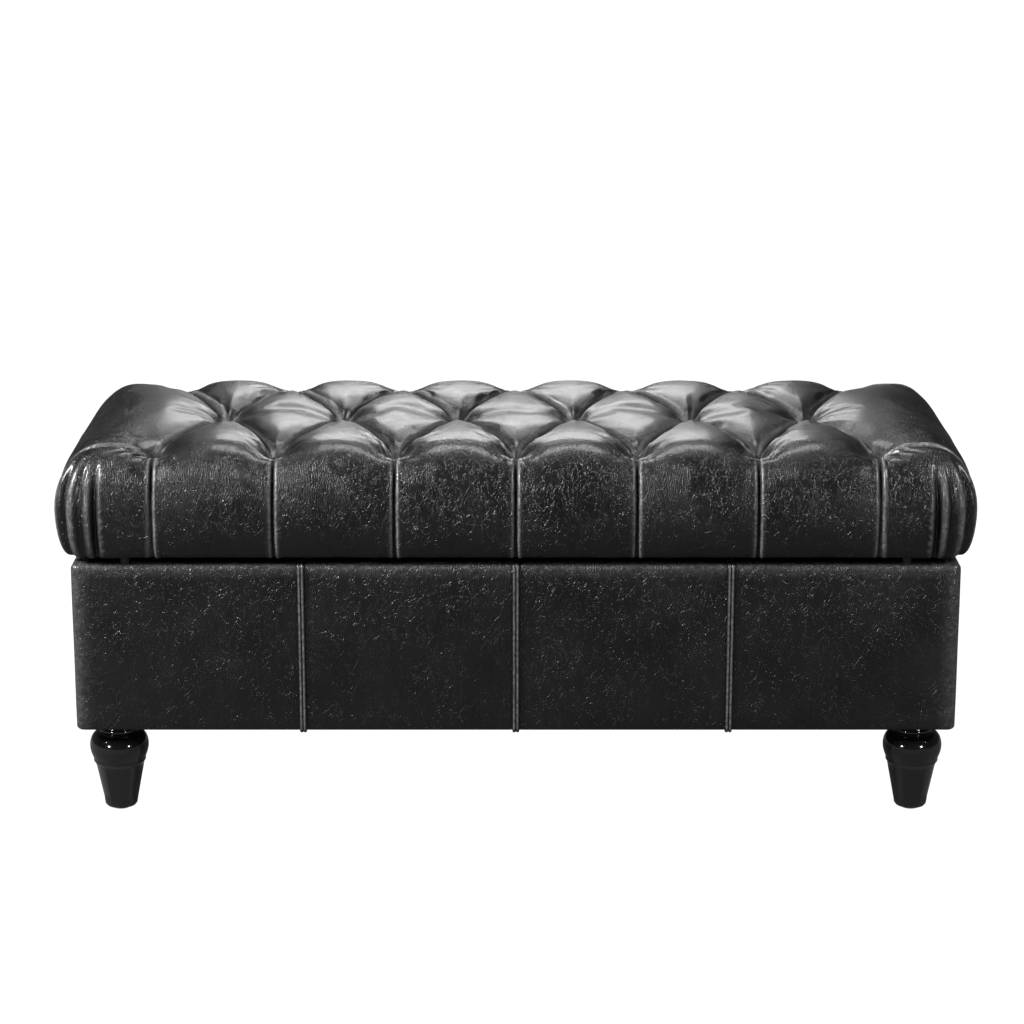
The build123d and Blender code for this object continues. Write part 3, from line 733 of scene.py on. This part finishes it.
def make_base_covers():
    """Four front pieces that turn the two front corners, then the two ends and the back."""
    shell = make_base_shell()
    turned = base_half_depth - end_seam
    fronts = list(zip([-base_half_length, *base_seam_x], [*base_seam_x, base_half_length]))
    cuts = []
    for number, (start, stop) in enumerate(fronts, 1):
        wide = stop - start + (turned if number in (1, len(fronts)) else 0)
        cuts.append((f"front_{number}", (start, -clear_of_base), (stop, -end_seam), wide))
    cuts.append(("left", (-clear_of_base, -end_seam), (0, end_seam), 2 * end_seam))
    cuts.append(("right", (0, -end_seam), (clear_of_base, end_seam), 2 * end_seam))
    wide = 2 * base_half_length + 2 * turned
    cuts.append(("back", (-clear_of_base, end_seam), (clear_of_base, clear_of_base), wide))
    pieces = [make_base_piece(shell, *cut) for cut in cuts]
    bpy.data.objects.remove(shell)
    return pieces


# ---- welts ----
def turn_bead(steps, centre):
    """Draws the bead's open end round a quarter turn."""
    bpy.ops.mesh.spin(
        steps=steps, angle=math.radians(-90), center=centre, axis=(1, 0, 0), use_auto_merge=False
    )


def make_bead(x):
    """One bead of a welt: from the top edge, over it, down the front and under the bottom edge."""
    line = -base_half_depth - welt_stands
    crest = base_top + welt_stands
    sole = base_bottom - welt_stands
    over = top_rounding + welt_stands
    under = bottom_rounding + welt_stands
    deselect_all()
    bpy.ops.mesh.primitive_circle_add(
        vertices=14,
        radius=welt_bead_radius,
        fill_type="NGON",
        location=(x, line + over + welt_on_top, crest),
        rotation=(math.radians(90), 0, 0),
    )
    bead = bpy.context.active_object
    settle_place(bead)
    open_edit(bead)
    bpy.ops.mesh.select_mode(type="FACE")
    bpy.ops.mesh.select_all(action="SELECT")
    bpy.ops.mesh.extrude_region_move(TRANSFORM_OT_translate={"value": (0, -welt_on_top, 0)})
    turn_bead(7, (x, line + over, crest - over))
    drop = crest - over - (sole + under)
    for share in welt_stops:
        bpy.ops.mesh.extrude_region_move(TRANSFORM_OT_translate={"value": (0, 0, -drop * share)})
    turn_bead(6, (x, line + under, sole + under))
    bpy.ops.mesh.extrude_region_move(TRANSFORM_OT_translate={"value": (0, welt_underneath, 0)})
    bpy.ops.mesh.select_all(action="SELECT")
    bpy.ops.mesh.remove_doubles(threshold=0.00001)
    bpy.ops.mesh.normals_make_consistent(inside=False)
    close_edit()
    return bead


def make_welt(name, x, node):
    """A double welt over a front seam, its two beads pressed together, with a highlight painted along each
    bead's crest.
    """
    left = make_bead(x - welt_bead_offset)
    right = make_bead(x + welt_bead_offset)
    deselect_all()
    left.select_set(True)
    right.select_set(True)
    bpy.context.view_layer.objects.active = left
    bpy.ops.object.join()
    left.name = name
    left.data.name = name
    ends = left.modifiers.new("rounded ends", "BEVEL")
    ends.width = welt_end_rounding
    ends.segments = 3
    ends.limit_method = "ANGLE"
    ends.angle_limit = math.radians(60)
    apply_modifier(left, ends)
    # Painted highlight along the crest of each bead where it stands proud of the front.
    points = read_points(left)
    from_line = np.abs(np.abs(points[:, 0] - x) - welt_bead_offset)
    proud = smooth_step(-points[:, 1], base_half_depth + 1.5 * MM, base_half_depth + 3 * MM)
    store_value(left, "painted_edge_highlight", proud * np.exp(-((from_line / welt_highlight_width) ** 2)))
    smooth_shading(left)
    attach(left, "base")
    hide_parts(node)
    return left


# ---- legs ----
def leg_rings(*rings):
    """Height and radius of rings given as millimetres below the leg's top and millimetres of radius."""
    return [(leg_high.z - below * MM, radius * MM) for below, radius in rings]


def leg_profile():
    """Rings of the turned leg from the foot up: height and radius, without the flutes."""
    foot = [
        (leg_low.z, 17 * MM),
        (leg_low.z + 1.0 * MM, 19.4 * MM),
        (leg_low.z + 3.5 * MM, 21.3 * MM),
        (leg_low.z + 8 * MM, 22.0 * MM),
    ]
    (taper_stop,) = leg_rings((57.5, 32.8))
    rise = np.subtract(taper_stop, foot[-1])
    taper = [tuple(np.add(foot[-1], rise * t)) for t in np.linspace(0, 1, 15)[1:]]
    ring = leg_rings((57, 33.6), (56, 34.3), (54.6, 34.6), (53.4, 34.4), (52.6, 34.2))
    low_z, low_radius = ring[-1]
    ((wide_z, wide_radius),) = leg_rings((35, 38.8))
    lower = [
        (low_z + (wide_z - low_z) * t, low_radius + (wide_radius - low_radius) * math.sin(t * math.pi / 2))
        for t in np.linspace(0, 1, 9)[1:]
    ]
    ((neck_z, neck_radius),) = leg_rings((16.5, 26.5))
    upper = [
        (
            wide_z + (neck_z - wide_z) * math.sin(a),
            neck_radius + (wide_radius - neck_radius) * math.cos(a) ** 0.9,
        )
        for a in np.linspace(0, math.pi / 2, 13)[1:]
    ]
    collar = leg_rings(
        (16.2, 25.2), (15.4, 24.8), (14.2, 25.6), (12, 26.0), (9.8, 25.6),
        (8.8, 24.6), (8.2, 24.2), (4, 24.2), (0, 24.2),
    )
    return foot + taper + ring + lower + upper + collar


def make_leg():
    """One turned leg at the middle of the floor: a disc drawn up ring by ring, then six shallow flutes."""
    rings = leg_profile()
    deselect_all()
    bpy.ops.mesh.primitive_circle_add(
        vertices=leg_sides, radius=rings[0][1], fill_type="NGON", location=(0, 0, rings[0][0])
    )
    leg = bpy.context.active_object
    settle_place(leg)
    open_edit(leg)
    bpy.ops.mesh.select_mode(type="FACE")
    bpy.ops.mesh.select_all(action="SELECT")
    for (height, radius), (next_height, next_radius) in zip(rings, rings[1:]):
        bpy.ops.mesh.extrude_region_move(TRANSFORM_OT_translate={"value": (0, 0, next_height - height)})
        grow = next_radius / radius
        bpy.ops.transform.resize(value=(grow, grow, 1), center_override=(0, 0, next_height))
    bpy.ops.mesh.select_all(action="SELECT")
    bpy.ops.mesh.normals_make_consistent(inside=False)
    close_edit()
    points = read_points(leg)
    radius = np.hypot(points[:, 0], points[:, 1])
    angle = np.arctan2(points[:, 0], -points[:, 1])
    low = leg_low.z + 9 * MM
    high = leg_high.z - 60 * MM
    height = points[:, 2]
    run = smooth_step(height, low, low + 7 * MM) * (1 - smooth_step(height, high - 5 * MM, high + 1 * MM))
    hollow = np.abs(np.cos(flute_count / 2 * angle)) ** 0.6
    inward = 1 - flute_depth * hollow * run / np.maximum(radius, 1e-6)
    points[:, 0] *= inward
    points[:, 1] *= inward
    write_points(leg, points)
    smooth_shading(leg, 50)
    return leg


def make_legs():
    """The four legs, each a copy of the first one, standing under its corner."""
    first = make_leg()
    legs = []
    for corner in ("front_left", "front_right", "back_left", "back_right"):
        node = f"leg_{corner}"
        low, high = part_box(node)
        leg = copy_of(first, f"turned_leg_{corner}")
        leg.location = ((low.x + high.x) / 2, (low.y + high.y) / 2, 0)
        settle_place(leg)
        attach(leg, "base")
        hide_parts(node)
        legs.append(leg)
    bpy.data.objects.remove(first)
    return legs


# ---- node groups for the finishes ----
def new_group(name, inputs, outputs):
    """A shader node group with float inputs (name: default) and outputs (name: kind)."""
    tree = bpy.data.node_groups.new(name, "ShaderNodeTree")
    for label, value in inputs.items():
        socket = tree.interface.new_socket(name=label, in_out="INPUT", socket_type="NodeSocketFloat")
        socket.default_value = value
    for label, kind in outputs.items():
        tree.interface.new_socket(name=label, in_out="OUTPUT", socket_type=kind)
    return tree, tree.nodes.new("NodeGroupInput"), tree.nodes.new("NodeGroupOutput")


def put(tree, kind, **values):
    """A node with its settings, and its inputs set or linked by their names (underscores for spaces)."""
    node = tree.nodes.new(kind)
    for name, value in values.items():
        if hasattr(node, name):
            setattr(node, name, value)
            continue
        socket = node.inputs[name.replace("_", " ")]
        if isinstance(value, bpy.types.NodeSocket):
            tree.links.new(value, socket)
        else:
            socket.default_value = value
    return node


def noise_of(tree, place, **settings):
    """A noise texture's value at a place."""
    return put(tree, "ShaderNodeTexNoise", Vector=place, **settings).outputs["Fac"]


def reckon(tree, operation, *values):
    """A math node on numbers or sockets, and its result."""
    node = tree.nodes.new("ShaderNodeMath")
    node.operation = operation
    for number, value in enumerate(values):
        if isinstance(value, bpy.types.NodeSocket):
            tree.links.new(value, node.inputs[number])
        else:
            node.inputs[number].default_value = value
    return node.outputs[0]


def spread(tree, value, low, high, to_low=0.0, to_high=1.0):
    """The value stretched from one range to another, and kept inside it."""
    ends = {"From_Min": low, "From_Max": high, "To_Min": to_low, "To_Max": to_high}
    return put(tree, "ShaderNodeMapRange", Value=value, **ends).outputs[0]


def blend_colors(tree, share, first, second):
    """A colour between two, by share."""
    node = tree.nodes.new("ShaderNodeMix")
    node.data_type = "RGBA"
    tree.links.new(share, node.inputs[0])
    for socket, color in ((node.inputs[6], first), (node.inputs[7], second)):
        if isinstance(color, bpy.types.NodeSocket):
            tree.links.new(color, socket)
        else:
            socket.default_value = (*color, 1)
    return node.outputs[2]


def own_place(tree):
    """Object coordinates."""
    return tree.nodes.new("ShaderNodeTexCoord").outputs["Object"]


def stretched_place(tree, scale):
    """Object coordinates, scaled differently along each axis."""
    return put(tree, "ShaderNodeMapping", Vector=own_place(tree), Scale=scale).outputs[0]


def thin_lines(tree, place, scale, width, warp):
    """Meandering hairlines: where a warped noise passes its middle value."""
    value = noise_of(tree, place, Scale=scale, Detail=2, Distortion=warp)
    off_middle = reckon(tree, "ABSOLUTE", reckon(tree, "SUBTRACT", value, 0.5))
    return spread(tree, off_middle, width, 0.0)


def hide_grain_group():
    """Creased hide: short crossing wrinkles and swirls in patches, over a fine pebble."""
    outputs = {"Height": "NodeSocketFloat", "Crest": "NodeSocketFloat"}
    tree, given, result = new_group("hide_grain", {"Wrinkles": 0.5, "Pebble": 1.0}, outputs)
    place = own_place(tree)
    upright = stretched_place(tree, (1.0, 1.0, 0.45))
    patches = noise_of(tree, place, Scale=11, Detail=3)
    broken = noise_of(tree, stretched_place(tree, (1.6, 1.6, 0.6)), Scale=50, Detail=3)
    gaps = spread(tree, broken, 0.36, 0.6, 0.25, 1)
    bands = {"Scale": 118, "Distortion": 26, "Detail": 3, "Detail_Scale": 0.22}
    bands = put(tree, "ShaderNodeTexWave", Vector=place, **bands).outputs["Fac"]
    thinned = reckon(tree, "POWER", bands, 4.0)
    swirls = reckon(tree, "MULTIPLY", thinned, spread(tree, patches, 0.5, 0.62, 0, 0.5))
    long_lines = thin_lines(tree, upright, 84, 0.028, 0.9)
    coarse = reckon(tree, "MULTIPLY", long_lines, spread(tree, patches, 0.3, 0.5))
    fine = reckon(tree, "MULTIPLY", thin_lines(tree, upright, 150, 0.035, 0.6), 0.35)
    drawn = reckon(tree, "MAXIMUM", reckon(tree, "MAXIMUM", coarse, fine), swirls)
    crest = reckon(tree, "MULTIPLY", reckon(tree, "MULTIPLY", drawn, gaps), given.outputs["Wrinkles"])
    cells = put(tree, "ShaderNodeTexVoronoi", Vector=place, Scale=620).outputs["Distance"]
    pebble = reckon(tree, "MULTIPLY", reckon(tree, "MULTIPLY", cells, given.outputs["Pebble"]), -0.22)
    tree.links.new(reckon(tree, "ADD", crest, pebble), result.inputs["Height"])
    tree.links.new(crest, result.inputs["Crest"])
    return tree


def thread_weave_group():
    """Plain weave: over and under threads both ways, with slightly uneven yarns."""
    tree, given, result = new_group(
        "thread_weave", {"Threads": 600.0}, {"Height": "NodeSocketFloat", "Yarn": "NodeSocketFloat"}
    )
    place = own_place(tree)
    parts = put(tree, "ShaderNodeSeparateXYZ", Vector=place).outputs
    slubs = noise_of(tree, place, Scale=40, Detail=3)
    waves = []
    for across in (reckon(tree, "ADD", parts["X"], parts["Y"]), reckon(tree, "ADD", parts["Z"], parts["Y"])):
        turns = reckon(tree, "MULTIPLY", across, given.outputs["Threads"])
        waves.append(reckon(tree, "SINE", reckon(tree, "ADD", turns, slubs)))
    woven = reckon(tree, "MULTIPLY", waves[0], waves[1])
    tree.links.new(spread(tree, woven, -1, 1), result.inputs["Height"])
    tree.links.new(slubs, result.inputs["Yarn"])
    return tree


def surface_mottle_group():
    """Slow and fine unevenness, for machined, moulded and lacquered surfaces."""
    tree, given, result = new_group(
        "surface_mottle", {"Size": 60.0}, {"Slow": "NodeSocketFloat", "Fine": "NodeSocketFloat"}
    )
    place = own_place(tree)
    finer = reckon(tree, "MULTIPLY", given.outputs["Size"], 14.0)
    tree.links.new(noise_of(tree, place, Scale=given.outputs["Size"], Detail=3), result.inputs["Slow"])
    tree.links.new(noise_of(tree, place, Scale=finer, Detail=2), result.inputs["Fine"])
    return tree


groups = {"hide": hide_grain_group(), "weave": thread_weave_group(), "mottle": surface_mottle_group()}


# ---- finishes ----
def new_finish(name, roughness=0.5, metallic=0.0, coat=0.0, coat_roughness=0.1, specular=0.5):
    """A material with the constants of its shader set, and its tree and shader."""
    material = bpy.data.materials.new(name)
    material.use_nodes = True
    shader = material.node_tree.nodes["Principled BSDF"]
    shader.inputs["Roughness"].default_value = roughness
    shader.inputs["Metallic"].default_value = metallic
    shader.inputs["Coat Weight"].default_value = coat
    shader.inputs["Coat Roughness"].default_value = coat_roughness
    shader.inputs["Specular IOR Level"].default_value = specular
    return material, material.node_tree, shader


def use_group(tree, name, **values):
    """One of the shared groups in this material, with its own values."""
    node = tree.nodes.new("ShaderNodeGroup")
    node.node_tree = groups[name]
    for label, value in values.items():
        socket = node.inputs[label]
        if isinstance(value, bpy.types.NodeSocket):
            tree.links.new(value, socket)
        else:
            socket.default_value = value
    return node.outputs


def add_relief(tree, shader, height, distance, strength=1.0):
    """Raises the surface by a height pattern."""
    bump = put(tree, "ShaderNodeBump", Height=height, Distance=distance, Strength=strength)
    tree.links.new(bump.outputs["Normal"], shader.inputs["Normal"])


def stored_value(tree, name):
    """A value that the piece keeps at each of its points."""
    node = tree.nodes.new("ShaderNodeAttribute")
    node.attribute_name = name
    return node.outputs["Fac"]


def black_hide(name, pebble, relief, painted_highlight, wrinkled=None):
    """Black semi-gloss leather, wrinkled where the piece's wrinkled value asks for it; the wrinkle crests and
    the edges the piece marks get painted highlights.
    """
    material, tree, shader = new_finish(name, specular=0.45, coat=0.3, coat_roughness=0.2)
    if wrinkled is None:
        wrinkled = stored_value(tree, "wrinkled")
    grain = use_group(tree, "hide", Wrinkles=wrinkled, Pebble=pebble)
    mottle = use_group(tree, "mottle", Size=14.0)
    ground = blend_colors(tree, mottle["Slow"], (0.0012, 0.0012, 0.0013), (0.0045, 0.0044, 0.0045))
    # Painted highlight: wrinkle crests lightened towards grey, as if catching the light.
    crest_highlighted = blend_colors(tree, reckon(tree, "MULTIPLY", grain["Crest"], painted_highlight), ground, (0.06, 0.06, 0.062))
    patchy = spread(tree, mottle["Fine"], 0.35, 0.65, 0.4, 1)
    # Painted highlight: the piece's marked lips, ridges, rims and bead crests lightened towards grey.
    painted_edge_share = reckon(tree, "MULTIPLY", stored_value(tree, "painted_edge_highlight"), patchy)
    tree.links.new(blend_colors(tree, painted_edge_share, crest_highlighted, (0.2, 0.2, 0.205)), shader.inputs["Base Color"])
    tree.links.new(spread(tree, mottle["Slow"], 0.3, 0.7, 0.29, 0.4), shader.inputs["Roughness"])
    add_relief(tree, shader, grain["Height"], relief)
    return material


def black_lacquer():
    """Gloss black lacquer over turned wood, with a faint ripple."""
    material, tree, shader = new_finish("black_lacquer", coat=1.0, coat_roughness=0.04)
    mottle = use_group(tree, "mottle", Size=22.0)
    color = blend_colors(tree, mottle["Slow"], (0.003, 0.003, 0.003), (0.007, 0.0065, 0.006))
    tree.links.new(color, shader.inputs["Base Color"])
    tree.links.new(spread(tree, mottle["Fine"], 0.3, 0.7, 0.1, 0.16), shader.inputs["Roughness"])
    add_relief(tree, shader, mottle["Slow"], 0.0003, 0.3)
    return material


def woven_cloth(name, dark, light, threads, relief):
    """A plain-weave cloth in two close shades."""
    material, tree, shader = new_finish(name, roughness=0.85, specular=0.2)
    weave = use_group(tree, "weave", Threads=threads)
    share = reckon(tree, "MULTIPLY", reckon(tree, "ADD", weave["Height"], weave["Yarn"]), 0.5)
    tree.links.new(blend_colors(tree, share, dark, light), shader.inputs["Base Color"])
    add_relief(tree, shader, weave["Height"], relief, 0.6)
    return material


def plain_wood(name, dark, light, rings):
    """Bare sawn wood with its figure along the length."""
    material, tree, shader = new_finish(name, roughness=0.6, specular=0.3)
    place = stretched_place(tree, (0.12, 1.0, 1.0))
    bands = {"Scale": rings, "Distortion": 9, "Detail": 3, "Detail_Scale": 1.2}
    figure = put(tree, "ShaderNodeTexWave", Vector=place, **bands)
    pores = use_group(tree, "mottle", Size=70.0)
    share = reckon(tree, "MULTIPLY", reckon(tree, "ADD", figure.outputs["Fac"], pores["Fine"]), 0.5)
    tree.links.new(blend_colors(tree, share, dark, light), shader.inputs["Base Color"])
    add_relief(tree, shader, share, 0.0003, 0.4)
    return material


def mottled(name, dark, light, size, rough_low, rough_high, relief, metallic=0.0, specular=0.5):
    """An even material whose shade, roughness and surface vary a little."""
    material, tree, shader = new_finish(name, metallic=metallic, specular=specular)
    mottle = use_group(tree, "mottle", Size=size)
    tree.links.new(blend_colors(tree, mottle["Slow"], dark, light), shader.inputs["Base Color"])
    tree.links.new(spread(tree, mottle["Fine"], 0.3, 0.7, rough_low, rough_high), shader.inputs["Roughness"])
    add_relief(tree, shader, mottle["Fine"], relief, 0.5)
    return material


def make_finishes():
    """Every finish, by the name of its slot."""
    return {
        # The fourth number of each black hide sets its painted crest highlight.
        "leather": black_hide("button_leather", 0.8, 0.0003, 0.1, wrinkled=0.2),
        "black_lacquer": black_lacquer(),
        "lining_cloth": woven_cloth(
            "lining_cloth", (0.03, 0.029, 0.03), (0.075, 0.072, 0.072), 2600.0, 0.0003
        ),
        "dust_cloth": woven_cloth("dust_cloth", (0.012, 0.012, 0.013), (0.035, 0.035, 0.037), 3200.0, 0.0002),
        "plywood": plain_wood("plywood", (0.36, 0.24, 0.13), (0.62, 0.47, 0.3), 26.0),
        "softwood": plain_wood("softwood", (0.5, 0.34, 0.18), (0.72, 0.56, 0.36), 18.0),
        "zinc_steel": mottled(
            "zinc_steel", (0.42, 0.43, 0.44), (0.6, 0.61, 0.63), 55.0, 0.28, 0.42, 0.0001, metallic=1.0
        ),
        "nylon": mottled("nylon", (0.62, 0.6, 0.55), (0.74, 0.72, 0.67), 50.0, 0.4, 0.55, 0.0001),
        "rubber": mottled(
            "rubber", (0.01, 0.01, 0.01), (0.022, 0.022, 0.023), 80.0, 0.65, 0.8, 0.0002, specular=0.3
        ),
        "foam": mottled("foam", (0.6, 0.54, 0.36), (0.76, 0.7, 0.5), 120.0, 0.85, 0.95, 0.0006, specular=0.2),
        "wadding": mottled(
            "wadding", (0.7, 0.7, 0.68), (0.86, 0.86, 0.84), 60.0, 0.9, 0.97, 0.0008, specular=0.1
        ),
        "twine": mottled("twine", (0.42, 0.33, 0.2), (0.6, 0.5, 0.34), 200.0, 0.8, 0.9, 0.0004, specular=0.2),
    }


def node_slots():
    """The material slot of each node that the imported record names."""
    return {part["node"]: part["material_slot"] for part in frame["record"]["subparts"]}


def finish_everything(lid, base_pieces, welts, legs):
    """Gives every new piece and every carried-over node its material."""
    finishes = make_finishes()
    # The fourth number of each black hide sets its painted crest highlight.
    hide = black_hide("black_hide", 0.9, 0.0013, 0.22)
    edging = black_hide("welt_leather", 0.7, 0.0003, 0.1, wrinkled=0.25)
    dressed = [(piece, hide) for piece in [lid, *base_pieces]]
    dressed += [(piece, edging) for piece in welts]
    dressed += [(piece, finishes["black_lacquer"]) for piece in legs]
    dressed += [(frame["nodes"][name], finishes[slot]) for name, slot in node_slots().items()]
    for piece, finish in dressed:
        piece.data.materials.clear()
        piece.data.materials.append(finish)


# ---- stage, light and camera ----
def area_light(name, place, target, size, watts):
    """A softbox at a place, aimed at a target."""
    data = bpy.data.lights.new(name, "AREA")
    data.shape = "RECTANGLE"
    data.size, data.size_y = size
    data.energy = watts
    light = bpy.data.objects.new(name, data)
    light.location = place
    light.rotation_euler = (Vector(target) - Vector(place)).to_track_quat("-Z", "Y").to_euler()
    bpy.context.scene.collection.objects.link(light)


def seen_or_lit(tree, seen, lit):
    """A strength that is one value where the camera looks and another where light falls."""
    path = tree.nodes.new("ShaderNodeLightPath").outputs["Is Camera Ray"]
    return spread(tree, path, 0, 1, lit, seen)


def make_stage():
    """A plain white floor, bright enough to leave no hard shadow."""
    deselect_all()
    bpy.ops.mesh.primitive_plane_add(size=24, location=(0, 0, 0))
    floor = bpy.context.active_object
    floor.name = "studio_floor"
    material, tree, shader = new_finish("studio_white", roughness=0.9, specular=0.0)
    shader.inputs["Base Color"].default_value = (0.08, 0.08, 0.08, 1)
    shader.inputs["Emission Color"].default_value = (1, 1, 1, 1)
    tree.links.new(seen_or_lit(tree, floor_seen, floor_lit), shader.inputs["Emission Strength"])
    floor.data.materials.append(material)


def make_camera():
    """The camera in front, a little above, looking down 15 degrees."""
    data = bpy.data.cameras.new("camera")
    data.lens = 101.95
    data.sensor_width = 36
    camera = bpy.data.objects.new("camera", data)
    camera.location = (-0.005, -base_half_depth - 3.592, 1.382)
    camera.rotation_euler = (math.radians(75), 0, 0)
    bpy.context.scene.collection.objects.link(camera)
    bpy.context.scene.camera = camera


def make_light():
    """A dim studio, softboxes behind and above for the tops, two for the rolls, two low ones for the legs."""
    world = bpy.data.worlds.new("studio")
    world.use_nodes = True
    tree = world.node_tree
    background = tree.nodes["Background"]
    background.inputs["Color"].default_value = (1, 1, 1, 1)
    tree.links.new(seen_or_lit(tree, 1.0, world_lit), background.inputs["Strength"])
    bpy.context.scene.world = world
    bpy.context.scene.view_settings.view_transform = "Standard"
    area_light("back_softbox", (-0.05, 2.7, 1.4), (0, 0, 0.45), (1.2, 0.5), 13)
    area_light("top_softbox", (0.0, 0.6, 2.4), (0, 0, 0.4), (1.2, 0.6), 26)
    area_light("left_softbox", (-2.3, -1.1, 2.1), (-0.2, 0, 0.45), (0.4, 0.8), 160)
    area_light("right_softbox", (2.3, -1.1, 2.1), (0.2, 0, 0.45), (0.4, 0.8), 50)
    area_light("left_window", (-2.2, -2.6, 0.8), (-0.4, -0.2, 0.2), (0.34, 0.26), 20)
    area_light("right_window", (1.9, -2.6, 0.8), (0.4, -0.2, 0.2), (0.24, 0.24), 14)


# ---- make everything ----
make_camera()
lid_cover = make_lid_cover()
base_pieces = make_base_covers()
welts = [make_welt(f"welt_{side}", x, f"front_welt_{side}") for side, x in zip(welt_sides, base_seam_x)]
legs = make_legs()
finish_everything(lid_cover, base_pieces, welts, legs)
make_stage()
make_light()
